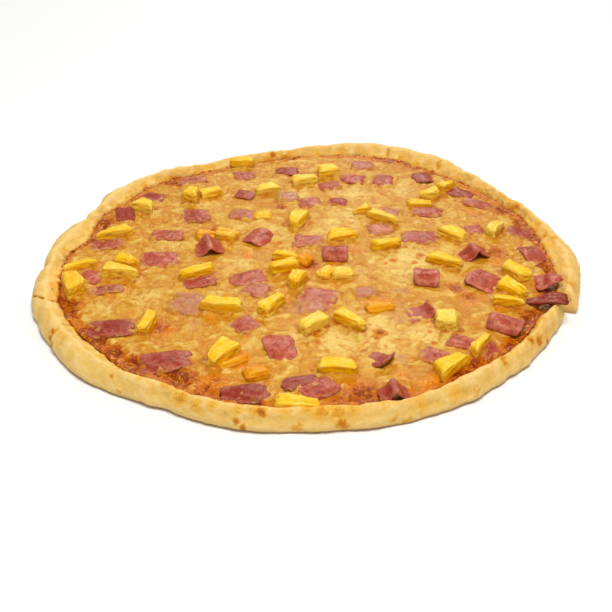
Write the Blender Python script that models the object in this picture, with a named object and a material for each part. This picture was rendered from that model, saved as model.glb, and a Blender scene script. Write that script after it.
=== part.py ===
"""Ham and pineapple pizza: a thin, hand-formed, uncut round with its layers and its larger toppings.

The dough lies flat on its underside and carries a low uneven rim. Tomato sauce fills the hollow inside
the rim and melted cheese lies on the sauce. Pineapple chunks and the ham slices that stand proud are
pieces of their own, each bedded in the cheese. Flat ham slices and chunks that the cheese has run over
are one with the cheese. Lengths are metres, +Z is up, and the underside's middle is the origin.
"""
import math
import random

import bmesh
import bpy
import numpy as np
from mathutils import Matrix, Vector, geometry, noise

MM = 0.001

# Driving dimensions
PIZZA_REACH = 164.0 * MM
BASE_THICKNESS = 5.0 * MM
RIM_HEIGHT = 13.2 * MM
RIM_WIDTH = 13.0 * MM
LAYER_GAP = 0.3 * MM
SAUCE_THICKNESS = 1.5 * MM
SAUCE_LIP_RISE = 1.7 * MM
CHEESE_THICKNESS = 3.2 * MM
CHEESE_SWELL = 0.9 * MM
SLICE_THICKNESS = 1.7 * MM
CHUNK_BEVEL = 1.3 * MM
MESH_STEP = 10.5 * MM
RIM_STEP_DEG = 4

SAUCE_BOTTOM = BASE_THICKNESS + LAYER_GAP
SAUCE_TOP = SAUCE_BOTTOM + SAUCE_THICKNESS
CHEESE_BOTTOM = SAUCE_TOP + LAYER_GAP
CHEESE_LEVEL = CHEESE_BOTTOM + CHEESE_THICKNESS
CHUNK_BED = CHEESE_BOTTOM + 1.0 * MM
RIM_CHUNK_LIFT = 2.2 * MM

# The rim, read every 10 degrees from the right-hand side towards the back, as shares of PIZZA_REACH and of
# RIM_WIDTH. The hand-pressed edge wanders in and out by several millimetres.
OUTLINE = (1.008, 0.988, 0.974, 0.958, 0.978, 1.020, 1.065, 1.075, 1.045, 0.992, 0.948, 0.954,
           0.942, 0.962, 0.994, 0.983, 0.961, 0.998, 1.001, 1.019, 1.036, 1.036, 1.040, 1.030,
           1.006, 1.014, 1.018, 1.006, 1.006, 1.004, 0.990, 0.976, 0.966, 0.960, 0.984, 0.998)
BREADTH = (1.48, 1.18, 0.96, 0.82, 1.02, 1.43, 1.69, 1.74, 1.44, 1.07, 0.85, 1.10,
           0.97, 0.95, 1.32, 1.38, 0.92, 1.76, 1.22, 1.36, 1.32, 1.26, 1.40, 1.12,
           0.90, 0.85, 0.86, 0.90, 0.92, 0.88, 0.95, 0.95, 0.85, 0.90, 0.98, 1.18)
CREST = (1.00, 0.98, 0.96, 1.02, 1.06, 1.07, 1.08, 1.08, 1.06, 1.03, 1.00, 0.97,
         0.97, 1.00, 1.03, 1.00, 0.97, 1.00, 1.03, 1.00, 0.98, 0.97, 0.97, 1.00,
         1.00, 0.98, 0.97, 0.98, 1.00, 1.00, 0.98, 0.97, 1.00, 1.03, 1.04, 1.04)

# The rim is split at the right: one end swings out past the other and a groove runs between them.
SPLIT_TURN = 341.2
SPLIT_OUT = 2.0 * MM
SPLIT_IN = 3.5 * MM
SPLIT_REACH_DEG = 9.0
SPLIT_GROOVE = 5.5 * MM
SPLIT_HALF_DEG = 0.9
# Two shallow seams cross the rim at the left, where the dough was folded over itself.
SEAMS = ((199.0, 2.2 * MM), (211.0, 1.6 * MM))
SEAM_HALF_DEG = 0.8

# The view that topping places are read from, in pixels of a 612 x 612 frame
VIEW_DISTANCE = 676.5 * MM
VIEW_TILT = math.radians(31.83)
VIEW_FOCAL = 1148.0
VIEW_MIDDLE = 306.0
VIEW_TARGET = Vector((-2.53 * MM, -43.06 * MM, 0.0))


def plan(pixel, height):
    """The point at this height that the view shows at this pixel."""
    ahead = Vector((0.0, math.cos(VIEW_TILT), -math.sin(VIEW_TILT)))
    right = Vector((1.0, 0.0, 0.0))
    up = right.cross(ahead)
    eye = VIEW_TARGET - ahead * VIEW_DISTANCE
    across = (pixel[0] - VIEW_MIDDLE) / VIEW_FOCAL
    down = (pixel[1] - VIEW_MIDDLE) / VIEW_FOCAL
    ray = ahead + right * across - up * down
    spot = eye + ray * ((height - eye.z) / ray.z)
    return Vector((spot.x, spot.y, height))


def around(values, turn):
    """A smooth closed curve through evenly spaced values, read at a turn in degrees."""
    count = len(values)
    place = (turn % 360.0) / 360.0 * count
    first = int(place)
    share = place - first
    a, b, c, d = (values[(first + step) % count] for step in (-1, 0, 1, 2))
    return b + 0.5 * share * (c - a + share * (2 * a - 5 * b + 4 * c - d + share * (3 * (b - c) + d - a)))


def turn_between(turn, other):
    """Signed degrees from other to turn, between -180 and 180."""
    return (turn - other + 180.0) % 360.0 - 180.0


def outer_radius(turn):
    radius = PIZZA_REACH * around(OUTLINE, turn)
    past = turn_between(turn, SPLIT_TURN)
    if 0 <= past < SPLIT_REACH_DEG:
        radius += SPLIT_OUT * (1 - past / SPLIT_REACH_DEG)
    elif -SPLIT_REACH_DEG < past < 0:
        radius -= SPLIT_IN * (1 + past / SPLIT_REACH_DEG)
    return radius


def inner_radius(turn):
    return PIZZA_REACH * around(OUTLINE, turn) - RIM_WIDTH * around(BREADTH, turn)


def groove(turn):
    """How far the split and the seams cut down into the rim."""
    depth = SPLIT_GROOVE * max(0.0, 1 - abs(turn_between(turn, SPLIT_TURN)) / SPLIT_HALF_DEG)
    for seam, seam_depth in SEAMS:
        depth += seam_depth * max(0.0, 1 - abs(turn_between(turn, seam)) / SEAM_HALF_DEG)
    return depth


def rim_turns():
    """Even steps round the rim, with extra ones at the split and the seams."""
    turns = set(float(step) for step in range(0, 360, RIM_STEP_DEG))
    for middle, half in [(SPLIT_TURN, SPLIT_HALF_DEG)] + [(seam, SEAM_HALF_DEG) for seam, _ in SEAMS]:
        turns = set(turn for turn in turns if abs(turn_between(turn, middle)) > 2 * half)
        turns |= set((middle + half * step) % 360.0 for step in (-1.0, 0.0, 1.0))
    return sorted(turns)


def ring(turns, radius_of, height_of):
    """Points round the hub, one for each turn."""
    points = []
    for turn in turns:
        angle = math.radians(turn)
        radius = radius_of(turn)
        points.append(Vector((radius * math.cos(angle), radius * math.sin(angle), height_of(turn))))
    return points


def loft(name, rings):
    """A closed body through the rings, with flat faces over the first and the last."""
    shape = bmesh.new()
    rows = [[shape.verts.new(point) for point in points] for points in rings]
    for low, high in zip(rows, rows[1:]):
        for here in range(len(low)):
            there = (here + 1) % len(low)
            shape.faces.new((low[here], low[there], high[there], high[here]))
    shape.faces.new(list(reversed(rows[0])))
    shape.faces.new(rows[-1])
    bmesh.ops.recalc_face_normals(shape, faces=shape.faces)
    return finished_object(name, shape)


def finished_object(name, shape):
    mesh = bpy.data.meshes.new(name)
    shape.to_mesh(mesh)
    shape.free()
    piece = bpy.data.objects.new(name, mesh)
    bpy.context.scene.collection.objects.link(piece)
    return piece


def material(name, colour, roughness):
    """A plain finish: sRGB hex colour and roughness."""
    finish = bpy.data.materials.new(name)
    finish.use_nodes = True
    shader = finish.node_tree.nodes["Principled BSDF"]
    channels = [int(colour[place:place + 2], 16) / 255 for place in (0, 2, 4)]
    linear = [value / 12.92 if value <= 0.04045 else ((value + 0.055) / 1.055) ** 2.4 for value in channels]
    shader.inputs["Base Color"].default_value = (*linear, 1.0)
    shader.inputs["Roughness"].default_value = roughness
    return finish


# The layers

def make_crust(turns):
    """Flat-bottomed dough disc with a rounded rim."""
    def breadth(turn):
        return outer_radius(turn) - inner_radius(turn)

    def crest(turn):
        return RIM_HEIGHT * around(CREST, turn)

    profile = (
        (lambda t: outer_radius(t) - 3.6 * MM, lambda t: 0.0),
        (lambda t: outer_radius(t) - 0.6 * MM, lambda t: 1.4 * MM),
        (lambda t: outer_radius(t) - 0.2 * groove(t), lambda t: 0.34 * crest(t)),
        (lambda t: outer_radius(t) - 1.2 * MM - 0.3 * groove(t), lambda t: 0.66 * crest(t) - 0.4 * groove(t)),
        (lambda t: outer_radius(t) - 0.24 * breadth(t), lambda t: 0.91 * crest(t) - 0.7 * groove(t)),
        (lambda t: outer_radius(t) - 0.52 * breadth(t), lambda t: crest(t) - groove(t)),
        (lambda t: inner_radius(t) + 0.20 * breadth(t), lambda t: 0.86 * crest(t) - 0.5 * groove(t)),
        (lambda t: inner_radius(t) + 1.9 * MM, lambda t: SAUCE_TOP + SAUCE_LIP_RISE + 0.2 * MM),
        (lambda t: inner_radius(t), lambda t: BASE_THICKNESS),
    )
    return loft("crust", [ring(turns, radius, height) for radius, height in profile])


def make_sauce(turns):
    """Thin layer on the dough whose outer edge climbs the rim's inner slope."""
    profile = (
        (lambda t: inner_radius(t) - 0.6 * MM, lambda t: SAUCE_BOTTOM),
        (lambda t: inner_radius(t) + 1.2 * MM, lambda t: SAUCE_TOP + SAUCE_LIP_RISE),
        (lambda t: inner_radius(t) - 0.2 * MM, lambda t: SAUCE_TOP + SAUCE_LIP_RISE),
        (lambda t: inner_radius(t) - 1.2 * MM, lambda t: SAUCE_TOP),
    )
    return loft("sauce", [ring(turns, radius, height) for radius, height in profile])


# How far the melted cheese stops short of the sauce's edge, every 15 degrees, in millimetres
CHEESE_MARGIN = (4.0, 7.5, 4.5, 5.0, 3.0, 6.5, 3.5, 4.0, 6.0, 3.0, 4.5, 5.5,
                 3.5, 6.0, 6.0, 8.0, 7.0, 5.0, 5.0, 6.0, 5.0, 6.5, 5.0, 6.5)
CHEESE_EDGE_SPAN = 7.0 * MM
CHEESE_EDGE_HEIGHT = 1.1 * MM
CHEESE_RAGGED = 1.6 * MM


def cheese_radius(turn):
    ragged = CHEESE_RAGGED * math.sin(math.radians(23 * turn)) * math.sin(math.radians(7 * turn))
    return inner_radius(turn) - around(CHEESE_MARGIN, turn) * MM + ragged


def cheese_surface(x, y):
    """Height of the cheese, with slow swells, away from its edge."""
    slow = noise.noise(Vector((x, y, 0.0)) * 22.0)
    quick = noise.noise(Vector((x, y, 0.3)) * 55.0)
    return CHEESE_LEVEL + CHEESE_SWELL * (slow + 0.6 * quick)


def cheese_height(x, y):
    """Height of the cheese, thinned towards its ragged edge."""
    turn = math.degrees(math.atan2(y, x))
    inside = (cheese_radius(turn) - math.hypot(x, y)) / CHEESE_EDGE_SPAN
    share = min(1.0, max(0.0, inside))
    share = math.sqrt(share * (2 - share))
    edge = CHEESE_BOTTOM + CHEESE_EDGE_HEIGHT
    return edge + (cheese_surface(x, y) - edge) * share


def make_cheese():
    """Triangulated sheet over the sauce, with a flat underside."""
    rng = random.Random(7)
    turns = [3.75 * step for step in range(96)]
    edge = [Vector((p.x, p.y)) for p in ring(turns, cheese_radius, lambda turn: 0.0)]
    count = len(edge)
    points = list(edge)
    rows = int(PIZZA_REACH / (MESH_STEP * 0.866))
    for row in range(-rows, rows + 1):
        for column in range(-rows, rows + 1):
            x = (column + 0.5 * (row % 2) + rng.uniform(-0.15, 0.15)) * MESH_STEP
            y = (row * 0.866 + rng.uniform(-0.12, 0.12)) * MESH_STEP
            if math.hypot(x, y) < cheese_radius(math.degrees(math.atan2(y, x))) - 0.55 * MESH_STEP:
                points.append(Vector((x, y)))
    loop = [(here, (here + 1) % count) for here in range(count)]
    places, _, faces, *_ = geometry.delaunay_2d_cdt(points, loop, [], 1, 1e-6)
    shape = bmesh.new()
    top = [shape.verts.new((p.x, p.y, cheese_height(p.x, p.y))) for p in places]
    for face in faces:
        shape.faces.new([top[corner] for corner in face])
    border = [corner for corner in shape.edges if corner.is_boundary]
    bottom = {}
    for corner in border:
        for point in corner.verts:
            if point not in bottom:
                bottom[point] = shape.verts.new((point.co.x, point.co.y, CHEESE_BOTTOM))
    walls = []
    for corner in border:
        first, second = corner.verts
        shape.faces.new((first, second, bottom[second], bottom[first]))
        walls.append((bottom[first], bottom[second]))
    chain = [walls[0][0]]
    links = {}
    for first, second in walls:
        links.setdefault(first, []).append(second)
        links.setdefault(second, []).append(first)
    previous = None
    while len(chain) < len(walls):
        step = [point for point in links[chain[-1]] if point is not previous][0]
        previous = chain[-1]
        chain.append(step)
    shape.faces.new(chain)
    bmesh.ops.recalc_face_normals(shape, faces=shape.faces)
    return finished_object("cheese", shape)


# Pineapple: (pixel of the top's middle, (length, width, height) in mm, turn in degrees, narrowing of one end)
PINEAPPLE = (
    ((242, 160), (18, 11, 6), 0, 0.1), ((328, 165), (15, 12, 9), 20, 0.2),
    ((305, 175), (20, 10, 8), 15, 0.4), ((267, 184), (17, 10, 8), 25, 0.1),
    ((191, 188), (12, 11, 11), 75, 0.1), ((211, 188), (17, 9, 8), 30, 0.3),
    ((144, 200), (15, 12, 10), -30, 0.2), ((113, 227), (25, 9, 9), 207, 0.6),
    ((78, 261), (21, 9, 7), 205, 0.5), ((72, 276), (20, 13, 11), 112, 0.1),
    ((125, 255), (15, 11, 9), -25, 0.2), ((120, 265), (24, 13, 9), -15, 0.6),
    ((197, 266), (23, 8, 9), 29, 0.2), ((226, 230), (16, 11, 8), -25, 0.1),
    ((298, 213), (18, 16, 9), 250, 0.5), ((362, 205), (14, 7, 8), 215, 0.5),
    ((383, 212), (24, 8, 8), -35, 0.5), ((341, 230), (19, 13, 8), 15, 0.2),
    ((387, 239), (20, 9, 8), 15, 0.3), ((286, 251), (16, 7, 8), -15, 0.2),
    ((284, 260), (20, 10, 9), 25, 0.2), ((297, 272), (15, 12, 10), 75, 0.1),
    ((222, 299), (25, 10, 9), -10, 0.1), ((272, 298), (21, 10, 10), 55, 0.3),
    ((313, 317), (20, 11, 9), 40, 0.1), ((350, 314), (22, 11, 9), -42, 0.6),
    ((447, 313), (15, 14, 10), 85, 0.1), ((147, 316), (20, 12, 9), 258, 0.5),
    ((221, 345), (22, 14, 10), 238, 0.5), ((338, 361), (21, 11, 8), -4, 0.1),
    ((452, 358), (22, 14, 9), 40, 0.3), ((482, 338), (20, 6, 9), 55, 0.2),
    ((297, 398), (24, 10, 7), -8, 0.3), ((446, 255), (23, 10, 8), -30, 0.6),
    ((454, 228), (19, 11, 8), -40, 0.1), ((495, 223), (17, 9, 9), 55, 0.3),
    ((516, 266), (20, 12, 9), -50, 0.2), ((512, 282), (20, 13, 9), -50, 0.3),
    ((510, 296), (20, 9, 8), -15, 0.6), ((447, 181), (15, 8, 8), 30, 0.3),
    ((431, 189), (15, 10, 9), 40, 0.2), ((420, 200), (18, 8, 6), -10, 0.2),
)
# Chunks that the cheese has run over, which are one with it
COATED_PINEAPPLE = (
    ((206, 231), (14, 10, 6), 10, 0.2), ((263, 212), (13, 12, 5), 0, 0.2),
    ((303, 255), (12, 11, 6), -40, 0.1), ((326, 268), (13, 10, 7), 60, 0.2),
    ((343, 269), (14, 10, 7), 0, 0.1), ((256, 369), (14, 11, 6), 20, 0.2),
    ((380, 303), (18, 11, 6), 15, 0.3), ((234, 358), (20, 7, 5), 32, 0.1),
)


def chunk_points(size, turn, taper, seed):
    """The eight uneven corners of a cut chunk, about its own middle."""
    rng = random.Random(seed)
    length, width, height = (value * MM for value in size)
    corners = []
    for along in (-0.5, 0.5):
        narrow = 1 - taper * (along + 0.5)
        for across in (-0.5, 0.5):
            for up in (-0.5, 0.5):
                lean = 0.90 if up > 0 else 1.0
                corners.append(Vector((
                    along * length * lean * rng.uniform(0.92, 1.05),
                    across * width * narrow * lean * rng.uniform(0.88, 1.08),
                    up * height * (1 - 0.35 * taper * (along + 0.5)) * rng.uniform(0.90, 1.05),
                )))
    spin = Matrix.Rotation(math.radians(turn), 3, "Z")
    return [spin @ corner for corner in corners]


def hull_object(name, corners):
    shape = bmesh.new()
    for corner in corners:
        shape.verts.new(corner)
    result = bmesh.ops.convex_hull(shape, input=shape.verts)
    spare = [item for item in result["geom_interior"] if isinstance(item, bmesh.types.BMVert)]
    bmesh.ops.delete(shape, geom=spare, context="VERTS")
    bmesh.ops.recalc_face_normals(shape, faces=shape.faces)
    return finished_object(name, shape)


def chunk_middle(pixel, size):
    """A chunk stands on its bed in the cheese, so its top is at its own height above the bed."""
    top = CHUNK_BED + size[2] * MM
    spot = plan(pixel, top)
    return Vector((spot.x, spot.y, top - 0.5 * size[2] * MM))


def make_chunk(name, pixel, size, turn, taper, seed, lift=0.0):
    """A bevelled chunk, and the slightly larger cutter that makes its bed."""
    corners = chunk_points(size, turn, taper, seed)
    middle = chunk_middle(pixel, size) + Vector((0.0, 0.0, lift))
    piece = hull_object(name, [middle + corner for corner in corners])
    bevel = piece.modifiers.new("worn edges", "BEVEL")
    bevel.width = CHUNK_BEVEL
    bevel.segments = 1
    bevel.limit_method = "ANGLE"
    bevel.angle_limit = math.radians(35)
    smallest = min(size[0], size[1], size[2]) * MM
    larger = 1 + 2.4 * LAYER_GAP / smallest
    cutter = hull_object(name + "_bed", [middle + corner * larger for corner in corners])
    return piece, cutter


# Ham. A slice is a strip profile of (along, up) in mm, swept across its width. FLAT lies down, and the
# others are how slices folded, curled or stood up in the oven.
FLAT = ((-0.5, 0.0), (0.0, 0.4), (0.5, 0.0))
CURL = ((-0.5, 0.0), (-0.1, 0.2), (0.25, 1.6), (0.45, 4.6))
TENT = ((-0.5, 0.2), (-0.22, 2.6), (-0.02, 6.6), (0.18, 3.6), (0.5, 0.2))
ROLL = ((-0.5, 0.6), (-0.34, 3.6), (0.0, 5.2), (0.34, 3.8), (0.5, 0.8))
RAISED = ((-0.5, 0.0), (-0.2, 1.4), (0.2, 2.4), (0.5, 2.9))
ARCH = ((-0.5, 0.0), (-0.25, 1.9), (0.1, 2.4), (0.5, 0.4))
CLIMB = ((-0.5, 0.0), (-0.18, 1.6), (0.1, 4.2), (0.5, 4.8))

# Slices that stand proud: (pixel, (length, width) in mm, turn in degrees, profile)
PROUD_HAM = (
    ((125, 213), (15, 12), 100, RAISED), ((259, 236), (17, 19), 150, ARCH),
    ((335, 249), (16, 16), 92, ROLL), ((209, 241), (17, 17), 20, TENT), ((427, 272), (17, 15), 85, ROLL),
    ((484, 280), (20, 18), 140, RAISED), ((475, 247), (18, 12), 20, TENT),
    ((532, 252), (20, 13), 105, ARCH), ((506, 320), (14, 20), 62, ROLL), ((421, 308), (15, 15), 20, CURL),
    ((395, 386), (16, 12), 12, TENT), ((379, 354), (15, 14), -35, CURL),
    ((280, 346), (24, 17), 102, ARCH),
)
# The slice at the right that dried onto the rim and the flap that lies over the split
RIM_HAM = (
    ((549, 277), (16, 13), -5, CLIMB, 0.4 * MM), ((547, 297), (25, 9), -12, CLIMB, 0.4 * MM),
)
# Slices that lie flat and are one with the cheese: (pixel, (length, width) in mm, turn in degrees)
FLAT_HAM = (
    ((245, 175), (15, 14), 10), ((287, 171), (16, 12), 0), ((330, 185), (15, 12), 20),
    ((352, 179), (18, 13), -10), ((383, 180), (18, 13), 85), ((422, 178), (14, 16), 5),
    ((460, 192), (17, 12), -25), ((477, 203), (21, 10), -30), ((427, 211), (20, 13), -10),
    ((391, 212), (12, 12), -15), ((192, 180), (21, 13), 20), ((152, 196), (17, 13), -20),
    ((196, 215), (18, 17), 5), ((243, 214), (17, 14), -15), ((245, 194), (14, 11), -20),
    ((310, 203), (15, 13), 15), ((338, 201), (10, 12), 85), ((308, 240), (16, 19), 85),
    ((380, 228), (16, 15), 10), ((168, 235), (21, 13), -5), ((107, 244), (22, 12), 12),
    ((160, 259), (23, 19), 5), ((90, 276), (15, 14), -20), ((106, 289), (22, 9), 15),
    ((200, 281), (21, 12), 20), ((190, 303), (20, 22), 80), ((248, 277), (20, 16), 20),
    ((256, 289), (16, 16), -20), ((318, 297), (21, 22), 70), ((366, 292), (13, 11), 10),
    ((420, 236), (22, 16), 0), ((474, 229), (12, 12), 10), ((520, 231), (17, 14), -20),
    ((433, 355), (14, 14), -30), ((461, 341), (14, 12), -25), ((489, 348), (12, 12), 20),
    ((300, 382), (18, 12), 15), ((318, 387), (20, 16), 30), ((244, 392), (25, 16), 12),
    ((166, 360), (28, 17), 10), ((109, 327), (27, 17), 5), ((245, 325), (15, 15), 45),
    ((312, 307), (16, 12), 10), ((362, 165), (16, 14), 10), ((287, 197), (15, 14), 5),
)
FLAT_SLICE_PROUD = 0.25 * MM
SLICE_BED = 0.6 * MM
ACROSS_STATIONS = (-0.5, 0.0, 0.5)
SLICE_UNEVEN = 0.16
RIM_CLEARANCE = 2.2 * MM


def strip_sides(profile, length, scale, grow):
    """The profile's upper and lower sides, at half a slice's thickness each way."""
    line = [Vector((along * length, up * MM * scale)) for along, up in profile]
    first = (line[0] - line[1]).normalized()
    last = (line[-1] - line[-2]).normalized()
    line[0] = line[0] + first * grow
    line[-1] = line[-1] + last * grow
    half = 0.5 * SLICE_THICKNESS + grow
    upper = []
    lower = []
    for place, point in enumerate(line):
        before = line[max(place - 1, 0)]
        after = line[min(place + 1, len(line) - 1)]
        heading = (after - before).normalized()
        side = Vector((-heading.y, heading.x)) * half
        upper.append(point + side)
        lower.append(point - side)
    return upper, lower


def inside_rim(x, y):
    """The point itself, or the nearest one towards the hub that is clear of the rim."""
    reach = inner_radius(math.degrees(math.atan2(y, x))) - RIM_CLEARANCE
    share = min(1.0, reach / math.hypot(x, y))
    return x * share, y * share


def make_slice(name, pixel, size, turn, profile, base, seed, grow=0.0, confined=False):
    """A slice of ham: its profile swept across its width and laid over the cheese."""
    rng = random.Random(seed)
    length, width = (value * MM for value in size)
    skews = [rng.uniform(-SLICE_UNEVEN, SLICE_UNEVEN) for _ in ACROSS_STATIONS]
    scales = [1 + rng.uniform(-SLICE_UNEVEN, SLICE_UNEVEN) for _ in ACROSS_STATIONS]
    lean = rng.uniform(-SLICE_UNEVEN, SLICE_UNEVEN)
    lift = max(up for _, up in profile) * MM
    middle = plan(pixel, base(0.0, 0.0, True) + lift)
    spin = Matrix.Rotation(math.radians(turn), 3, "Z")
    shape = bmesh.new()
    rows = []
    for station, skew, scale in zip(ACROSS_STATIONS, skews, scales):
        upper, lower = strip_sides(profile, length * (1 + 0.5 * skew), scale, grow)
        across = station * (width + 2 * grow)
        row = []
        for point in upper + list(reversed(lower)):
            flat = spin @ Vector((point.x + across * skew, across * (1 + lean * point.x / length), 0.0))
            x = middle.x + flat.x
            y = middle.y + flat.y
            if confined:
                x, y = inside_rim(x, y)
            row.append(shape.verts.new((x, y, base(x, y, False) + point.y)))
        rows.append(row)
    for row, following in zip(rows, rows[1:]):
        for here in range(len(row)):
            there = (here + 1) % len(row)
            shape.faces.new((row[here], row[there], following[there], following[here]))
    half = len(profile)
    for row in (rows[0], rows[-1]):
        for place in range(half - 1):
            shape.faces.new((row[place], row[place + 1], row[-2 - place], row[-1 - place]))
    bmesh.ops.triangulate(shape, faces=shape.faces)
    bmesh.ops.recalc_face_normals(shape, faces=shape.faces)
    return finished_object(name, shape)


def on_cheese(offset, surface=cheese_surface):
    """A base height for a slice that follows the cheese, at an offset above its surface."""
    def height(x, y, typical):
        return (CHEESE_LEVEL if typical else surface(x, y)) + offset
    return height


def on_level(level):
    """A base height for a slice that lies at one level, such as one on the rim."""
    def height(x, y, typical):
        return level
    return height


# Joining and cutting

def boolean(piece, others, operation, label):
    """Applies one Boolean with every object in others, keeps the largest body and removes the others."""
    group = bpy.data.collections.new(label)
    bpy.context.scene.collection.children.link(group)
    for other in others:
        other.display_type = "WIRE"
        other.hide_render = True
        bpy.context.scene.collection.objects.unlink(other)
        group.objects.link(other)
    modifier = piece.modifiers.new(label, "BOOLEAN")
    modifier.operation = operation
    modifier.operand_type = "COLLECTION"
    modifier.collection = group
    modifier.solver = "EXACT"
    apply_modifiers(piece)
    for other in others:
        bpy.data.objects.remove(other)
    bpy.data.collections.remove(group)


def apply_modifiers(piece):
    bpy.context.view_layer.update()
    graph = bpy.context.evaluated_depsgraph_get()
    mesh = bpy.data.meshes.new_from_object(piece.evaluated_get(graph))
    old = piece.data
    piece.modifiers.clear()
    piece.data = mesh
    bpy.data.meshes.remove(old)
    mesh.name = piece.name


def body_volume(faces):
    """Signed volume that a closed group of faces holds."""
    total = 0.0
    for face in faces:
        corners = [corner.vert.co for corner in face.loops]
        for second, third in zip(corners[1:], corners[2:]):
            total += corners[0].dot(second.cross(third)) / 6.0
    return total


def keep_largest_body(piece):
    """Drops the scraps that a cut has freed."""
    shape = bmesh.new()
    shape.from_mesh(piece.data)
    seen = set()
    bodies = []
    for start in shape.faces:
        if start in seen:
            continue
        body = [start]
        seen.add(start)
        for face in body:
            for edge in face.edges:
                for neighbour in edge.link_faces:
                    if neighbour not in seen:
                        seen.add(neighbour)
                        body.append(neighbour)
        bodies.append(body)
    bodies.sort(key=body_volume)
    scraps = [face for body in bodies[:-1] for face in body]
    if scraps:
        bmesh.ops.delete(shape, geom=scraps, context="FACES")
    bmesh.ops.dissolve_degenerate(shape, dist=0.01 * MM, edges=shape.edges)
    bmesh.ops.triangulate(shape, faces=shape.faces)
    loose = [edge for edge in shape.edges if not edge.link_faces]
    bmesh.ops.delete(shape, geom=loose, context="EDGES")
    loose = [point for point in shape.verts if not point.link_faces]
    bmesh.ops.delete(shape, geom=loose, context="VERTS")
    shape.to_mesh(piece.data)
    shape.free()


def copies(cutters, suffix):
    """Cutters can serve once, so each use takes copies."""
    made = []
    for cutter in cutters:
        copy = cutter.copy()
        copy.data = cutter.data.copy()
        copy.name = cutter.name + suffix
        bpy.context.scene.collection.objects.link(copy)
        made.append(copy)
    return made


def corners_of(piece):
    points = np.array([vertex.co[:] for vertex in piece.data.vertices])
    return points.min(axis=0), points.max(axis=0)


def near(piece, other, margin=0.5 * MM):
    low, high = corners_of(piece)
    other_low, other_high = corners_of(other)
    return bool(np.all(low - margin < other_high) and np.all(other_low - margin < high))


def shade(piece, finish, sharp_degrees):
    piece.data.materials.clear()
    piece.data.materials.append(finish)
    piece.data.shade_smooth()
    piece.data.set_sharp_from_angle(angle=math.radians(sharp_degrees))


def centre_on_origin(pieces):
    """Moves every piece so that the crust's box stands with the middle of its underside at the origin."""
    low, high = corners_of(bpy.data.objects["crust"])
    shift = Matrix.Translation((-(low[0] + high[0]) / 2, -(low[1] + high[1]) / 2, 0.0))
    for piece in pieces:
        piece.data.transform(shift)


def main():
    for stale in list(bpy.data.objects):
        bpy.data.objects.remove(stale)

    dough = material("baked_dough", "F3CC7A", 0.75)
    tomato = material("tomato_sauce", "96340F", 0.45)
    melted = material("melted_cheese", "DDAE62", 0.40)
    fruit = material("pineapple", "F4C62A", 0.35)
    ham = material("cooked_ham", "BE6357", 0.40)

    turns = rim_turns()
    crust = make_crust(turns)
    sauce = make_sauce(turns)
    cheese = make_cheese()

    chunks = []
    chunk_cutters = []
    for place, (pixel, size, turn, taper) in enumerate(PINEAPPLE, start=1):
        lift = RIM_CHUNK_LIFT if place == 1 else 0.0
        piece, cutter = make_chunk(f"pineapple_{place:02d}", pixel, size, turn, taper, place, lift)
        chunks.append(piece)
        chunk_cutters.append(cutter)

    slices = []
    slice_cutters = []
    proud = [(*entry, on_cheese(-SLICE_BED)) for entry in PROUD_HAM]
    proud += [(pixel, size, turn, profile, on_level(CHEESE_LEVEL + rise))
              for pixel, size, turn, profile, rise in RIM_HAM]
    for place, (pixel, size, turn, profile, base) in enumerate(proud, start=1):
        name = f"ham_{place:02d}"
        seed = 100 + place
        slices.append(make_slice(name, pixel, size, turn, profile, base, seed))
        bed = make_slice(name + "_bed", pixel, size, turn, profile, base, seed, LAYER_GAP)
        slice_cutters.append(bed)

    fused = []
    for place, (pixel, size, turn) in enumerate(FLAT_HAM, start=1):
        base = on_cheese(FLAT_SLICE_PROUD, cheese_height)
        name = f"flat_{place:02d}"
        fused.append(make_slice(name, pixel, size, turn, FLAT, base, 200 + place, confined=True))
    for place, (pixel, size, turn, taper) in enumerate(COATED_PINEAPPLE, start=1):
        piece, cutter = make_chunk(f"coated_{place:02d}", pixel, size, turn, taper, 300 + place)
        bpy.data.objects.remove(cutter)
        apply_modifiers(piece)
        fused.append(piece)

    boolean(cheese, fused, "UNION", "run together")
    keep_largest_body(cheese)
    for layer in (crust, sauce, cheese):
        cutters = [cutter for cutter in chunk_cutters + slice_cutters if near(layer, cutter)]
        boolean(layer, copies(cutters, "_" + layer.name), "DIFFERENCE", "beds")
        keep_largest_body(layer)
    toppings = chunks + slices
    topping_cutters = chunk_cutters + slice_cutters
    for place, piece in enumerate(toppings):
        apply_modifiers(piece)
        cutters = [cutter for cutter in topping_cutters[:place] if near(piece, cutter)]
        if cutters:
            boolean(piece, copies(cutters, "_" + piece.name), "DIFFERENCE", "beds")
            keep_largest_body(piece)
    for cutter in topping_cutters:
        bpy.data.objects.remove(cutter)

    for piece, finish, sharp in [(crust, dough, 60), (sauce, tomato, 40), (cheese, melted, 40)]:
        shade(piece, finish, sharp)
    for piece in chunks:
        shade(piece, fruit, 50)
    for piece in slices:
        shade(piece, ham, 50)
    centre_on_origin([crust, sauce, cheese] + chunks + slices)


main()
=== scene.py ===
# %% [markdown]
# This lesson dresses a ham and pineapple pizza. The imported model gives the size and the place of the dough,
# the sauce, the cheese and each large topping. Here every layer gets the fine surface that the solids leave
# out: an uneven hand-pressed rim, melted cheese with blisters and oil, fibrous fruit and thin wrinkled ham.
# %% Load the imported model
import math
import random
from collections import namedtuple

import bmesh
import bpy
import numpy as np
from mathutils import Matrix, Vector, noise


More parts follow.
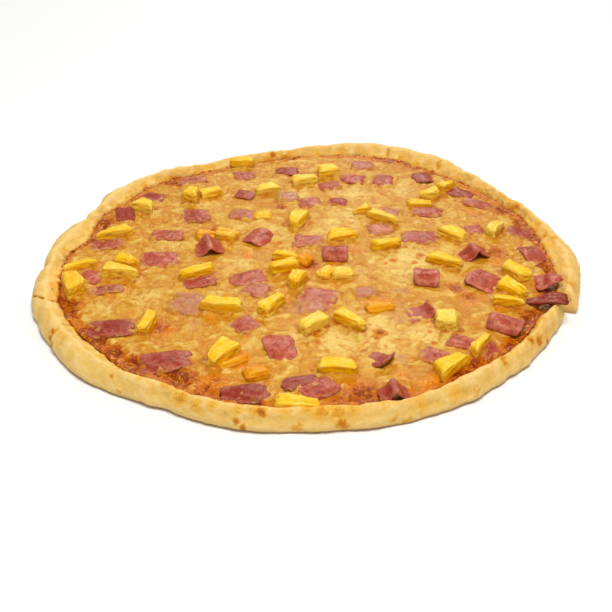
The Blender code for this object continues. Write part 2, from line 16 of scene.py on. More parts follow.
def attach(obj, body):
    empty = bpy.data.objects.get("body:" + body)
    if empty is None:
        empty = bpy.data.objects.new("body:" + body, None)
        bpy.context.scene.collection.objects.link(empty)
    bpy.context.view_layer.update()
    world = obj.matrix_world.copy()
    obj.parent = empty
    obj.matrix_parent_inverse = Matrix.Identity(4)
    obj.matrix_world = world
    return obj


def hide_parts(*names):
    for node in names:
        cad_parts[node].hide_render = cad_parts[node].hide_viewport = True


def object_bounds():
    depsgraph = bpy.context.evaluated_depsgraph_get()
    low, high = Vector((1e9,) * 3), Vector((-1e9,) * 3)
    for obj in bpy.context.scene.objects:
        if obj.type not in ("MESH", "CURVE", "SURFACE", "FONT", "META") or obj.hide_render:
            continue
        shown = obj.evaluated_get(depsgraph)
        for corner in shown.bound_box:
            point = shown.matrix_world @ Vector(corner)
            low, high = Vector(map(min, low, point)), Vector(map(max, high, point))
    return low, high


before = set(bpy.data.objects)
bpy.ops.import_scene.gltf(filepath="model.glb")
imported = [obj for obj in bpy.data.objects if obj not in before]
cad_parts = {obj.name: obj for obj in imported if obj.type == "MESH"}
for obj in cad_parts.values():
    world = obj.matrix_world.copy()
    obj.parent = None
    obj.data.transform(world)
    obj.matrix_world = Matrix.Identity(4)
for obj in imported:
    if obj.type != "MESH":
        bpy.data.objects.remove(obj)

CAD_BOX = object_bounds()
MM = 0.001
print("nodes:", len(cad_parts), "box top, mm:", round(CAD_BOX[1].z / MM, 1))

# %% [markdown]
# A few helpers keep the later cells short. Smooth random numbers come from Blender's own noise, read at
# each point, so that the same seed always gives the same pizza. Numbers stay in numpy arrays until a mesh
# is made.
# %% Helpers for numbers


def noise_at(points, size, seed=0.0):
    """Smooth noise, about -1 to 1, with lumps of this size in metres, at each row of points."""
    return np.array([noise.noise((x, y, z + seed)) for x, y, z in (points / size).tolist()])


def smooth_step(low, high, values):
    share = np.clip((values - low) / (high - low), 0.0, 1.0)
    return share * share * (3 - 2 * share)


def around(values, turns):
    """A smooth closed curve through evenly spaced values, read at turns in degrees."""
    values = np.asarray(values, float)
    count = len(values)
    place = (np.asarray(turns, float) % 360.0) / 360.0 * count
    first = np.floor(place).astype(int)
    share = place - first
    a, b, c, d = (values[(first + step) % count] for step in (-1, 0, 1, 2))
    return b + 0.5 * share * (c - a + share * (2 * a - 5 * b + 4 * c - d + share * (3 * (b - c) + d - a)))


def turn_between(turns, other):
    """Signed degrees from other to turns, between -180 and 180."""
    return (np.asarray(turns, float) - other + 180.0) % 360.0 - 180.0


def grid_quads(index):
    """The four corners of each square of a grid of point numbers."""
    corners = [index[:-1, :-1], index[1:, :-1], index[1:, 1:], index[:-1, 1:]]
    return np.stack(corners, axis=-1).reshape(-1, 4)


def turns_of(points):
    return np.degrees(np.arctan2(points[:, 1], points[:, 0])) % 360.0


def ring_points(radius, turns, height):
    return np.stack([radius * np.cos(np.radians(turns)), radius * np.sin(np.radians(turns)), height], axis=1)


print("helpers ready")

# %% [markdown]
# The rim was pressed by hand, so its radius, its breadth and its height wander. The same named values as in
# the solid model give the outline here, and small bumps and notches that the solid leaves out are added to
# them.
# %% Outline of the dough
PIZZA_REACH = 164.0 * MM
BASE_THICKNESS = 5.0 * MM
RIM_HEIGHT = 13.2 * MM
RIM_WIDTH = 13.0 * MM
LAYER_GAP = 0.3 * MM
SAUCE_TOP = BASE_THICKNESS + LAYER_GAP + 1.5 * MM
SAUCE_LIP = SAUCE_TOP + 1.7 * MM
CHEESE_BOTTOM = SAUCE_TOP + LAYER_GAP
CHEESE_LEVEL = CHEESE_BOTTOM + 3.2 * MM
CHEESE_SWELL = 0.9 * MM

OUTLINE = (
    1.008, 0.988, 0.974, 0.958, 0.978, 1.020, 1.065, 1.075, 1.045, 0.992, 0.948, 0.954, 0.942, 0.962, 0.994,
    0.983, 0.961, 0.998, 1.001, 1.019, 1.036, 1.036, 1.040, 1.030, 1.006, 1.014, 1.018, 1.006, 1.006, 1.004,
    0.990, 0.976, 0.966, 0.960, 0.984, 0.998,
)
BREADTH = (
    1.48, 1.18, 0.96, 0.82, 1.02, 1.43, 1.69, 1.74, 1.44, 1.07, 0.85, 1.10, 0.97, 0.95, 1.32, 1.38, 0.92,
    1.76, 1.22, 1.36, 1.32, 1.26, 1.40, 1.12, 0.90, 0.85, 0.86, 0.90, 0.92, 0.88, 0.95, 0.95, 0.85, 0.90,
    0.98, 1.18,
)
CREST = (
    1.00, 0.98, 0.96, 1.02, 1.06, 1.07, 1.08, 1.08, 1.06, 1.03, 1.00, 0.97, 0.97, 1.00, 1.03, 1.00, 0.97,
    1.00, 1.03, 1.00, 0.98, 0.97, 0.97, 1.00, 1.00, 0.98, 0.97, 0.98, 1.00, 1.00, 0.98, 0.97, 1.00, 1.03,
    1.04, 1.04,
)
SPLIT_TURN = 341.2
SPLIT_REACH_DEG = 9.0
SPLIT_OUT = 2.0 * MM
SPLIT_IN = 3.5 * MM
# Small bumps (positive) and notches on the outline: turn and half width in degrees, and millimetres
OUTLINE_BUMPS = (
    (114, 3.0, 1.4), (54, 2.5, 0.5), (47, 2.0, -2.4), (51, 1.5, 0.8), (65, 2.5, 1.6), (87, 3.0, 1.2),
    (96, 2.0, -0.9), (136, 2.5, 0.9), (149, 2.2, 2.2), (157, 1.5, -0.8), (163, 2.0, -1.9), (184, 2.5, -1.8),
    (203, 2.0, -1.4), (215, 1.0, -0.8), (243, 2.0, -1.3), (276, 4.0, -0.9), (292, 2.5, -1.2),
    (299, 2.0, -0.9), (306, 2.0, -1.1), (312, 1.8, -1.4), (345, 2.5, -1.2),
)
# The lower end of the split is rounded off
SPLIT_ROUND = 5.4 * MM


def middle_radius(turns):
    return PIZZA_REACH * around(OUTLINE, turns)


def outer_radius(turns):
    past = turn_between(turns, SPLIT_TURN)
    out = SPLIT_OUT * np.clip(1 - past / SPLIT_REACH_DEG, 0, 1) * (past >= 0)
    back = SPLIT_IN * np.clip(1 + past / SPLIT_REACH_DEG, 0, 1) * (past < 0)
    rounded = SPLIT_ROUND * np.exp(-((past + 0.9) / 1.6) ** 2) * (past < 0)
    radius = middle_radius(turns) + out - back - rounded
    for turn, half, rise in OUTLINE_BUMPS:
        radius = radius + rise * MM * np.exp(-(turn_between(turns, turn) / half) ** 2)
    return radius


def inner_radius(turns):
    return middle_radius(turns) - RIM_WIDTH * around(BREADTH, turns)


def crest_height(turns):
    return RIM_HEIGHT * around(CREST, turns)


EVERY_TURN = np.arange(0, 360, 0.25)
RING = ring_points(middle_radius(EVERY_TURN), EVERY_TURN, 0 * EVERY_TURN)
HUB = -(RING.min(axis=0) + RING.max(axis=0)) / 2
print("hub from the box's middle, mm:", np.round(HUB / MM, 2))

# %% [markdown]
# Toppings were placed through one fitted view. A pixel of that view, in a 612 x 612
# frame, and a height give one point on the pizza. The camera at the end of the lesson stands at the same
# place.
# %% The reference view
VIEW_DISTANCE = 676.5 * MM
VIEW_TILT = math.radians(31.83)
VIEW_FOCAL = 1148.0
VIEW_MIDDLE = 306.0
VIEW_TARGET = np.array([-2.53 * MM, -43.06 * MM, 0.0])
AHEAD = np.array([0.0, math.cos(VIEW_TILT), -math.sin(VIEW_TILT)])
RIGHT = np.array([1.0, 0.0, 0.0])
UP = np.cross(RIGHT, AHEAD)
EYE = VIEW_TARGET - AHEAD * VIEW_DISTANCE


def plan(pixel, height):
    """The point at this height, from the hub, that the view shows at this pixel."""
    ray = AHEAD + RIGHT * (pixel[0] - VIEW_MIDDLE) / VIEW_FOCAL - UP * (pixel[1] - VIEW_MIDDLE) / VIEW_FOCAL
    return EYE + ray * (height - EYE[2]) / ray[2]


def to_pixels(points):
    away = points - EYE
    depth = away @ AHEAD
    across = VIEW_MIDDLE + VIEW_FOCAL * (away @ RIGHT) / depth
    down = VIEW_MIDDLE - VIEW_FOCAL * (away @ UP) / depth
    return across, down, depth


def surface_point(pixel, points, normals):
    """The point of a surface that the view shows at this pixel."""
    across, down, depth = to_pixels(points)
    off = np.hypot(across - pixel[0], down - pixel[1])
    hidden = ((EYE - points) * normals).sum(axis=1) <= 0
    return points[np.argmin(off + 1e3 * hidden + 20.0 * depth)]


print("eye, mm:", np.round(EYE / MM, 1))

# %% [markdown]
# A mesh is made from arrays of points and faces, and per-point numbers ride on it as attributes. Shaders
# and Geometry Nodes read those by name, which keeps every pattern fixed to the food and not to the room.
# %% Helpers for meshes


def new_piece(name, points, faces, fields=None):
    """A smooth-shaded object from points measured from the hub, with its fields as attributes."""
    mesh = bpy.data.meshes.new(name)
    mesh.from_pydata((points + HUB).tolist(), [], [tuple(face) for face in faces])
    mesh.shade_smooth()
    piece = bpy.data.objects.new(name, mesh)
    bpy.context.scene.collection.objects.link(piece)
    store(piece, fields or {})
    return piece


def store(piece, fields):
    """Keeps a number or a vector for each point on the piece, for each named field."""
    for label, values in fields.items():
        values = np.asarray(values, np.float32)
        kind, slot = ("FLOAT", "value") if values.ndim == 1 else ("FLOAT_VECTOR", "vector")
        layer = piece.data.attributes.get(label) or piece.data.attributes.new(label, kind, "POINT")
        layer.data.foreach_set(slot, values.ravel())


def points_of(piece):
    flat = np.empty(len(piece.data.vertices) * 3, np.float32)
    piece.data.vertices.foreach_get("co", flat)
    return flat.reshape(-1, 3).astype(float) - HUB


def keep_below(piece, ceiling, floor=0.0):
    """Keeps the piece's points between two heights, so that it stays inside the solids' box."""
    points = points_of(piece)
    points[:, 2] = np.clip(points[:, 2], floor, ceiling)
    move_points(piece, points)


def normals_of(piece):
    flat = np.empty(len(piece.data.vertices) * 3, np.float32)
    piece.data.vertex_normals.foreach_get("vector", flat)
    return flat.reshape(-1, 3).astype(float)


def mark_bulges(piece, rounds, reach):
    """Stores how far each point stands out of its smoothed surroundings, as 1 at this reach in metres; the
    fields give painted shade in hollows and painted highlights on ridges.
    """
    mesh = piece.data
    ends = np.empty(len(mesh.edges) * 2, np.int32)
    mesh.edges.foreach_get("vertices", ends)
    a, b = ends.reshape(-1, 2).T
    total = len(mesh.vertices)
    count = np.maximum(np.bincount(a, minlength=total) + np.bincount(b, minlength=total), 1)
    points = points_of(piece)
    smooth = points.copy()
    for _ in range(rounds):
        sums = [np.bincount(a, smooth[b, axis], total) + np.bincount(b, smooth[a, axis], total)
                for axis in range(3)]
        smooth = np.stack([one / count for one in sums], axis=1)
    bulge = np.clip(((points - smooth) * normals_of(piece)).sum(axis=1) / reach, -1, 1)
    # hollow drives painted shade, ridge_highlight a painted highlight, in the finishes that read them
    store(piece, {"hollow": -bulge, "ridge_highlight": bulge})


def move_points(piece, points):
    piece.data.vertices.foreach_set("co", (points + HUB).astype(np.float32).ravel())
    piece.data.update()


def ring_faces(rows, count, closed_ends=True):
    """Quads between rows of points round a ring, with a fan at a pole point before and after them."""
    here = np.arange(count)
    there = (here + 1) % count
    quads = []
    for row in range(rows - 1):
        low, high = row * count, (row + 1) * count
        quads.append(np.stack([low + here, low + there, high + there, high + here], axis=1))
    faces = np.concatenate(quads).tolist()
    if closed_ends:
        first_pole = rows * count
        last = (rows - 1) * count
        faces += [(first_pole, b, a) for a, b in zip(here.tolist(), there.tolist())]
        faces += [(last + a, last + b, first_pole + 1) for a, b in zip(here.tolist(), there.tolist())]
    return faces


print("mesh helpers ready")

# %% [markdown]
# Materials and Geometry Nodes trees are both made of nodes with settings and links, so one small function
# adds a node to either. Colours are given as they look on a screen, and a second function turns them to
# linear light.
# %% Helpers for nodes and colours


def add_node(tree, kind, settings=None, inputs=None):
    """Adds one node, with its own settings, and each input given a value or another node's output."""
    node = tree.nodes.new(kind)
    for label, value in (settings or {}).items():
        setattr(node, label, value)
    for label, value in (inputs or {}).items():
        if isinstance(value, bpy.types.NodeSocket):
            tree.links.new(value, node.inputs[label])
        else:
            node.inputs[label].default_value = value
    return node


def linear(hex_colour):
    """An sRGB hex colour as linear red, green, blue and alpha."""
    parts = [int(hex_colour[place:place + 2], 16) / 255 for place in (1, 3, 5)]
    return (*[part / 12.92 if part <= 0.04045 else ((part + 0.055) / 1.055) ** 2.4 for part in parts], 1.0)


print("middle grey, linear:", round(linear("#808080")[0], 3))

# %% [markdown]
# Food colours lie in coats: a base tone, then browning, oil or stain over it, and some painted shade and
# highlights. Each coat here has one colour and shows where a field, broken up by a little noise, passes from
# a low to a high value. One function stacks them, and reads the piece's own points, so that nothing slides
# when the camera moves.
# %% A finish made of coats
Coat = namedtuple("Coat", "colour field grain breakup low high strength")
# Oil and juice tint what they reflect
WARM_GLEAM = (1.0, 0.78, 0.32, 1.0)


def coated_finish(name, base, coats, roughness, gloss=None, bumps=(), soft=0.0, soft_reach=(1, 0.5, 0.2),
                  shine=0.35, gleam=(1, 1, 1, 1), stretch=None):
    """A Principled material: base colour, coats over it, roughness, noise bumps and soft light inside.

    With a stretch, noise follows the piece's own grain instead of its place.
    """
    finish = bpy.data.materials.new(name)
    finish.use_nodes = True
    tree = finish.node_tree
    shader = tree.nodes["Principled BSDF"]
    place = add_node(tree, "ShaderNodeTexCoord").outputs["Object"]
    if stretch:
        grain = add_node(tree, "ShaderNodeAttribute", {"attribute_name": "grain"})
        place = add_node(tree, "ShaderNodeVectorMath", {"operation": "MULTIPLY"},
                         {0: grain.outputs["Vector"], 1: stretch}).outputs[0]
    colour = linear(base)
    for coat in (Coat(*row) for row in coats):
        grain = add_node(tree, "ShaderNodeTexNoise", None,
                         {"Vector": place, "Scale": 1 / (coat.grain * MM), "Detail": 4.0, "Roughness": 0.6})
        shade = add_node(tree, "ShaderNodeMath", {"operation": "MULTIPLY_ADD"},
                         {0: grain.outputs["Fac"], 1: coat.breakup, 2: -0.5 * coat.breakup})
        level = shade.outputs[0]
        if coat.field:
            field = add_node(tree, "ShaderNodeAttribute", {"attribute_name": coat.field})
            level = add_node(tree, "ShaderNodeMath", {"operation": "ADD"},
                             {0: level, 1: field.outputs["Fac"]}).outputs[0]
        mask = add_node(tree, "ShaderNodeMapRange", {"interpolation_type": "SMOOTHSTEP"}, {
            "Value": level, "From Min": coat.low, "From Max": coat.high, "To Max": coat.strength})
        mix = add_node(tree, "ShaderNodeMix", {"data_type": "RGBA"},
                       {0: mask.outputs[0], 6: colour, 7: linear(coat.colour)})
        colour = mix.outputs[2]
    if coats:
        tree.links.new(colour, shader.inputs["Base Color"])
    else:
        shader.inputs["Base Color"].default_value = colour
    shader.inputs["Roughness"].default_value = roughness
    shader.inputs["Specular IOR Level"].default_value = shine
    shader.inputs["Specular Tint"].default_value = gleam
    if gloss:
        field = add_node(tree, "ShaderNodeAttribute", {"attribute_name": gloss[0]})
        spread = add_node(tree, "ShaderNodeMapRange", None,
                          {"Value": field.outputs["Fac"], "To Min": roughness, "To Max": gloss[1]})
        tree.links.new(spread.outputs[0], shader.inputs["Roughness"])
    shader.inputs["Subsurface Weight"].default_value = soft
    shader.inputs["Subsurface Radius"].default_value = soft_reach
    shader.inputs["Subsurface Scale"].default_value = 1.5 * MM
    normal = None
    for size, depth in bumps:
        grain = add_node(tree, "ShaderNodeTexNoise", None,
                         {"Vector": place, "Scale": 1 / (size * MM), "Detail": 3.0})
        bump = add_node(tree, "ShaderNodeBump", None,
                        {"Height": grain.outputs["Fac"], "Distance": depth * MM, "Strength": 1.0})
        if normal:
            tree.links.new(normal, bump.inputs["Normal"])
        normal = bump.outputs["Normal"]
    if normal:
        tree.links.new(normal, shader.inputs["Normal"])
    return finish


print("finish helper ready")

# %% [markdown]
# Fine relief, such as fruit fibres or pores in dough, follows a rule, so a small Geometry Nodes tree makes
# it. The tree reads a place in the piece's own grain, stretches it, and pushes each point along its normal.
# %% A Geometry Nodes tree for relief


def open_tree(name, sizes):
    """A new tree with a geometry, these named inputs and a finish, and the outputs of its input node."""
    tree = bpy.data.node_groups.new(name, "GeometryNodeTree")
    tree.is_modifier = True
    for label, kind in (("Geometry", "Geometry"), *sizes, ("Finish", "Material")):
        tree.interface.new_socket(name=label, in_out="INPUT", socket_type="NodeSocket" + kind)
    tree.interface.new_socket(name="Geometry", in_out="OUTPUT", socket_type="NodeSocketGeometry")
    return tree, add_node(tree, "NodeGroupInput").outputs


def close_tree(tree, geometry, finish):
    """Makes instances real and sets the finish, because an export drops instances."""
    real = add_node(tree, "GeometryNodeRealizeInstances", None, {"Geometry": geometry})
    painted = add_node(tree, "GeometryNodeSetMaterial", None,
                       {"Geometry": real.outputs[0], "Material": finish})
    add_node(tree, "NodeGroupOutput", None, {"Geometry": painted.outputs[0]})
    return tree


def relief_tree(name):
    tree, given = open_tree(name, (("Grain size", "Float"), ("Stretch", "Vector"), ("Depth", "Float")))
    grain = add_node(tree, "GeometryNodeInputNamedAttribute",
                     {"data_type": "FLOAT_VECTOR"}, {"Name": "grain"})
    share = add_node(tree, "GeometryNodeInputNamedAttribute", {"data_type": "FLOAT"}, {"Name": "relief"})
    stretched = add_node(tree, "ShaderNodeVectorMath", {"operation": "MULTIPLY"},
                         {0: grain.outputs[0], 1: given["Stretch"]})
    scaled = add_node(tree, "ShaderNodeVectorMath", {"operation": "DIVIDE"},
                      {0: stretched.outputs[0], 1: given["Grain size"]})
    texture = add_node(tree, "ShaderNodeTexNoise", None,
                       {"Vector": scaled.outputs[0], "Scale": 1.0, "Detail": 2.0})
    centred = add_node(tree, "ShaderNodeMath", {"operation": "MULTIPLY_ADD"},
                       {0: texture.outputs["Fac"], 1: 2.0, 2: -1.0})
    depth = add_node(tree, "ShaderNodeMath", {"operation": "MULTIPLY"},
                     {0: centred.outputs[0], 1: given["Depth"]})
    masked = add_node(tree, "ShaderNodeMath", {"operation": "MULTIPLY"},
                      {0: depth.outputs[0], 1: share.outputs[0]})
    kept = add_node(tree, "GeometryNodeStoreNamedAttribute", {"data_type": "FLOAT", "domain": "POINT"},
                    {"Geometry": given["Geometry"], "Name": "ridge", "Value": texture.outputs["Fac"]})
    normal = add_node(tree, "GeometryNodeInputNormal")
    push = add_node(tree, "ShaderNodeVectorMath", {"operation": "SCALE"},
                    {0: normal.outputs[0], "Scale": masked.outputs[0]})
    moved = add_node(tree, "GeometryNodeSetPosition", None,
                     {"Geometry": kept.outputs[0], "Offset": push.outputs[0]})
    return close_tree(tree, moved.outputs[0], given["Finish"])


def run_tree(piece, tree, values):
    """Runs a Geometry Nodes tree on a piece and keeps its result as the piece's plain mesh."""
    modifier = piece.modifiers.new(tree.name, "NODES")
    modifier.node_group = tree
    for item in tree.interface.items_tree:
        if item.in_out == "INPUT" and item.name in values:
            modifier[item.identifier] = values[item.name]
    bpy.context.view_layer.update()
    graph = bpy.context.evaluated_depsgraph_get()
    mesh = bpy.data.meshes.new_from_object(piece.evaluated_get(graph))
    piece.modifiers.clear()
    piece.data = mesh
    mesh.name = piece.name
    return piece


RELIEF = relief_tree("relief along the grain")
print("relief inputs:", [item.name for item in RELIEF.interface.items_tree if item.in_out == "INPUT"])

# %% [markdown]
# The dough is one ring-shaped sheet of points from the middle of the underside, out round the rim and in
# again to the hollow that holds the sauce. A spun profile would be perfectly even, so each turn has its own
# radius, breadth and height, and the sheet is then pushed about by noise.
# %% Dough points
RIM_TURNS = 1080
SPLIT_DEPTH = 7.0 * MM
SPLIT_HALF_DEG = 0.75
KNOB_RISE = 1.3 * MM


def spline_rows(rows, counts):
    """Smooth rows between control rows, with a count of steps for each span."""
    rows = [rows[0]] + list(rows) + [rows[-1]]
    made = []
    for span, count in enumerate(counts):
        a, b, c, d = rows[span:span + 4]
        for step in range(count):
            t = step / count
            made.append(b + 0.5 * t * (c - a + t * (2 * a - 5 * b + 4 * c - d + t * (3 * (b - c) + d - a))))
    made.append(rows[-2])
    return made


def dough_rows():
    turns = np.arange(RIM_TURNS) * 360.0 / RIM_TURNS
    outer = outer_radius(turns)
    inner = inner_radius(turns)
    circle = ring_points(inner, turns, 0 * turns)
    ragged = (1.8 * noise_at(circle, 9 * MM, 14.0) + noise_at(circle, 3.5 * MM, 15.0)) * MM
    past = turn_between(turns, SPLIT_TURN)
    knob = KNOB_RISE * np.exp(-((past + 2.6) / 2.2) ** 2)
    crest = crest_height(turns) + knob
    breadth = outer - inner
    cut = SPLIT_DEPTH * np.clip(1 - np.abs(past) / SPLIT_HALF_DEG, 0, 1)
    controls = [
        (outer - 3.6 * MM, 0 * crest),
        (outer - 0.6 * MM, 0 * crest + 1.4 * MM),
        (outer - 0.2 * cut, 0.34 * crest),
        (outer - 1.7 * MM - 0.3 * cut, 0.64 * crest - 0.4 * cut),
        (outer - 0.28 * breadth, 0.89 * crest - 0.7 * cut),
        (outer - 0.50 * breadth, crest - cut),
        (inner + 0.25 * breadth + 0.6 * ragged, 0.77 * crest - 0.5 * cut),
        (inner + 1.7 * MM + ragged, 0 * crest + SAUCE_LIP - 0.2 * MM),
        (inner + 0.3 * ragged, 0 * crest + BASE_THICKNESS),
    ]
    rows = [ring_points(radius, turns, height) for radius, height in controls]
    rim = spline_rows(rows, (4, 5, 7, 8, 10, 10, 7, 4))
    under = [rows[0] * np.array([share, share, 1.0]) for share in np.linspace(0.06, 0.985, 14)]
    hollow = [rows[-1] * np.array([share, share, 1.0]) for share in (0.9, 0.4)]
    return under + rim + hollow


rows = dough_rows()
dough_points = np.concatenate(rows + [np.array([[0, 0, 0.0], [0, 0, BASE_THICKNESS]])])
crust = new_piece("baked_crust", dough_points, ring_faces(len(rows), RIM_TURNS))
print("dough points:", len(dough_points))

# %% [markdown]
# Baking leaves its own marks: bulges, dimples, blisters that browned, and seams where the dough was folded.
# Each is placed by the pixel where the reference view shows it, turned into a point on the dough, and fades
# with the true distance from that point.
# %% Marks on the dough
# Each spot: pixel, radius in mm, and how brown it is
BLISTERS = (
    ((262, 412), 2.6, 1.0), ((236, 421), 2.2, 0.8), ((243, 428), 2.4, 0.9), ((298, 428), 3.0, 0.5),
    ((320, 412), 2.6, 0.6), ((336, 414), 1.6, 0.6), ((341, 423), 3.0, 0.8), ((346, 427), 2.0, 0.7),
    ((405, 424), 2.4, 0.5), ((110, 376), 1.6, 0.7), ((118, 391), 1.6, 0.5), ((539, 341), 3.6, 0.9),
    ((531, 341), 2.6, 0.9), ((547, 341), 2.4, 0.8), ((545, 236), 3.2, 0.6), ((553, 237), 2.6, 0.6),
    ((517, 207), 3.0, 0.7), ((512, 209), 2.4, 0.6), ((503, 358), 2.2, 0.7), ((505, 363), 1.8, 0.7),
    ((572, 284), 4.5, 0.55), ((273, 155), 2.6, 0.9), ((286, 156), 1.4, 0.7), ((196, 166), 2.4, 0.35),
    ((440, 165), 2.8, 0.5), ((460, 168), 3.0, 0.6), ((53, 332), 2.2, 0.8), ((50, 338), 2.0, 0.9),
    ((52, 345), 2.0, 0.8), ((395, 421), 3.0, 0.4), ((568, 250), 3.0, 0.35), ((330, 148), 3.0, 0.3),
    ((410, 420), 2.6, 0.4), ((543, 320), 3.0, 0.35), ((475, 389), 3.5, 0.35), ((56, 257), 1.6, 0.35),
)
GREY_SPECKS = (
    ((556, 252), 1.3, 0.7), ((548, 256), 1.2, 0.7), ((115, 197), 1.6, 0.5), ((52, 289), 1.5, 0.8),
    ((44, 314), 1.7, 0.5), ((504, 357), 1.8, 0.5), ((84, 228), 1.2, 0.5), ((455, 378), 1.6, 0.4),
    ((352, 155), 1.0, 0.9), ((101, 361), 1.0, 0.4),
)
# Seams as runs of pixels, with a width and a depth in mm, and how dark each is
SEAMS = (
    (((34, 297), (42, 298), (52, 300), (62, 303)), 0.7, 1.4, 1.0),
    (((76, 323), (64, 325), (57, 330), (52, 336)), 1.2, 0.8, 0.35),
    (((52, 352), (49, 346), (50, 340)), 1.0, 0.7, 0.4),
    (((438, 168), (437, 163), (441, 160)), 1.2, 0.8, 0.4),
    (((388, 164), (388, 156), (389, 149)), 1.4, 0.7, 0.45),
    (((505, 365), (502, 359), (506, 357)), 1.0, 0.6, 0.4),
)

print("blisters:", len(BLISTERS), "seams:", len(SEAMS))

# %% [markdown]
# A mark becomes a field: one number for each point of the dough, 1 at the mark and 0 away from it. The
# finish reads the fields as colour and the mesh reads them as height, so a browned blister is also a bump
# and a seam is a crease.
# %% Fields of marks


def spot_field(points, normals, spots):
    """For each point the strongest of the spots there, fading with distance."""
    field = np.zeros(len(points))
    frayed = 1 + 0.55 * noise_at(points, 2.2 * MM, 17.0) + 0.25 * noise_at(points, 1.0 * MM, 18.0)
    for pixel, radius, strength in spots:
        middle = surface_point(pixel, points, normals)
        near = np.linalg.norm(points - middle, axis=1) / (radius * MM * np.maximum(frayed, 0.4))
        field = np.maximum(field, strength * np.exp(-near ** 2.4))
    return field


def line_field(points, normals, pixels, width):
    """1 on the line through these pixels, fading to 0 at this width in mm."""
    field = np.zeros(len(points))
    stops = [surface_point(pixel, points, normals) for pixel in pixels]
    for start, end in zip(stops, stops[1:]):
        along = end - start
        share = np.clip(((points - start) @ along) / (along @ along), 0, 1)
        off = np.linalg.norm(points - start - share[:, None] * along, axis=1)
        field = np.maximum(field, np.exp(-(off / (width * MM)) ** 2))
    return field


print("fields of marks ready")

# %% [markdown]
# Hand-pressed dough swells and dips at several sizes at once. Noise of 19, 8 and 3 mm does that on the rim
# alone, and the inner slope, where toppings pressed the soft dough, is rougher.
# %% Relief of the dough


def dough_relief(piece):
    points = points_of(piece)
    normals = normals_of(piece)
    turns = turns_of(points)
    radius = np.hypot(points[:, 0], points[:, 1])
    rim = smooth_step(inner_radius(turns) + 0.5 * MM, inner_radius(turns) + 4 * MM, radius)
    rim = rim * smooth_step(0.3 * MM, 3 * MM, points[:, 2])
    swell = 1.10 * noise_at(points, 19 * MM, 1.0) + 0.95 * noise_at(points, 8.0 * MM, 2.0)
    swell += 0.30 * noise_at(points, 3.0 * MM, 3.0)
    rough = smooth_step(inner_radius(turns) + 6 * MM, inner_radius(turns) + 2 * MM, radius)
    swell += 0.85 * rough * noise_at(points, 2.8 * MM, 4.0)
    brown = spot_field(points, normals, BLISTERS)
    grey = spot_field(points, normals, GREY_SPECKS)
    seam = np.zeros(len(points))
    dip = np.zeros(len(points))
    for pixels, width, depth, dark in SEAMS:
        line = line_field(points, normals, pixels, width)
        seam = np.maximum(seam, dark * line)
        dip = np.maximum(dip, depth * line)
    points = points + normals * (rim * (swell + 0.35 * brown - dip) * MM)[:, None]
    points[:, 2] = np.maximum(points[:, 2], 0.0)
    move_points(piece, points)
    return {"brown": brown, "grey": grey, "seam": seam}


crust_marks = dough_relief(crust)
print("browned points:", int((crust_marks["brown"] > 0.3).sum()))

# %% [markdown]
# The finish of the dough is baked wheat: pale gold and matt, more golden on bulges and on the right-hand
# side, with painted shade that makes it darker and greyer low on its outer side, and stained orange where
# sauce and oil touched its inner slope.
# %% Dough finish
# Where sauce and oil climbed further up the rim: turn and half width in degrees, millimetres
STAIN_CLIMBS = (
    (22, 6, 1.4), (69, 4, 2.5), (56, 6, 1.8), (38, 9, -3.0), (338, 8, 2.0), (268, 10, 1.0), (283, 5, 1.5),
    (205, 8, 1.0),
)


# Where golden grease and cheese ran onto the rim: pixel, radius in mm, strength
SMEARS = (
    ((180, 398), 5, 1.0), ((165, 384), 3.5, 0.8), ((196, 405), 4, 0.8), ((212, 404), 4, 0.7),
    ((236, 410), 3.5, 0.7), ((252, 409), 4, 0.7), ((285, 412), 4, 0.6), ((308, 409), 4, 0.8),
    ((323, 411), 5, 0.9), ((338, 411), 5, 0.9), ((352, 409), 4, 0.7), ((420, 405), 5, 0.6),
    ((456, 394), 5, 0.7), ((142, 372), 3, 0.6), ((500, 358), 5, 0.6), ((530, 338), 5, 0.7),
    ((62, 305), 3, 0.6), ((72, 322), 3, 0.6), ((90, 342), 3, 0.6), ((60, 332), 4, 0.6),
    ((548, 245), 5, 0.6), ((535, 225), 5, 0.6), ((480, 190), 5, 0.5), ((385, 402), 5, 0.5),
)


def dough_fields(piece):
    points = points_of(piece)
    turns = turns_of(points)
    radius = np.hypot(points[:, 0], points[:, 1])
    wander = 2.4 * noise_at(points, 12 * MM, 5.0) + 1.6 * noise_at(points, 4 * MM, 5.5)
    over = inner_radius(turns) + wander * MM - radius
    for turn, half, reach in STAIN_CLIMBS:
        over = over + reach * MM * np.exp(-(turn_between(turns, turn) / half) ** 2)
    upper = points[:, 2] > 3 * MM
    far = smooth_step(-0.2, 0.7, np.sin(np.radians(turns)))
    stain = np.clip(1 + (over - 1.2 * MM * far) / (3.2 * MM), 0, 1) * upper
    spill = np.clip(1 + (over + 1.0 * MM) / (7.0 * MM), 0, 1) * upper * (1 - 0.5 * stain)
    patchy = noise_at(points, 5 * MM, 6.5) + 0.4 * noise_at(points, 2 * MM, 6.8)
    spill = spill * smooth_step(-0.1, 0.35, patchy)
    spill = np.maximum(spill, spot_field(points, normals_of(piece), SMEARS))
    right = smooth_step(-0.2, 1.0, np.cos(np.radians(turns - 10)))
    bulge = noise_at(points, 12 * MM, 6.0)
    front_left = (points[:, 1] < 0) * (points[:, 0] < 0)
    golden = np.clip(0.42 + 0.30 * right + 0.35 * bulge - 0.25 * front_left, 0, 1)
    # Painted shade: darker and greyer towards the bottom of the outer side
    under = 1 - smooth_step(0.5 * MM, 5.0 * MM, points[:, 2])
    return {"stain": stain, "golden": golden, "under": under, "spill": spill}


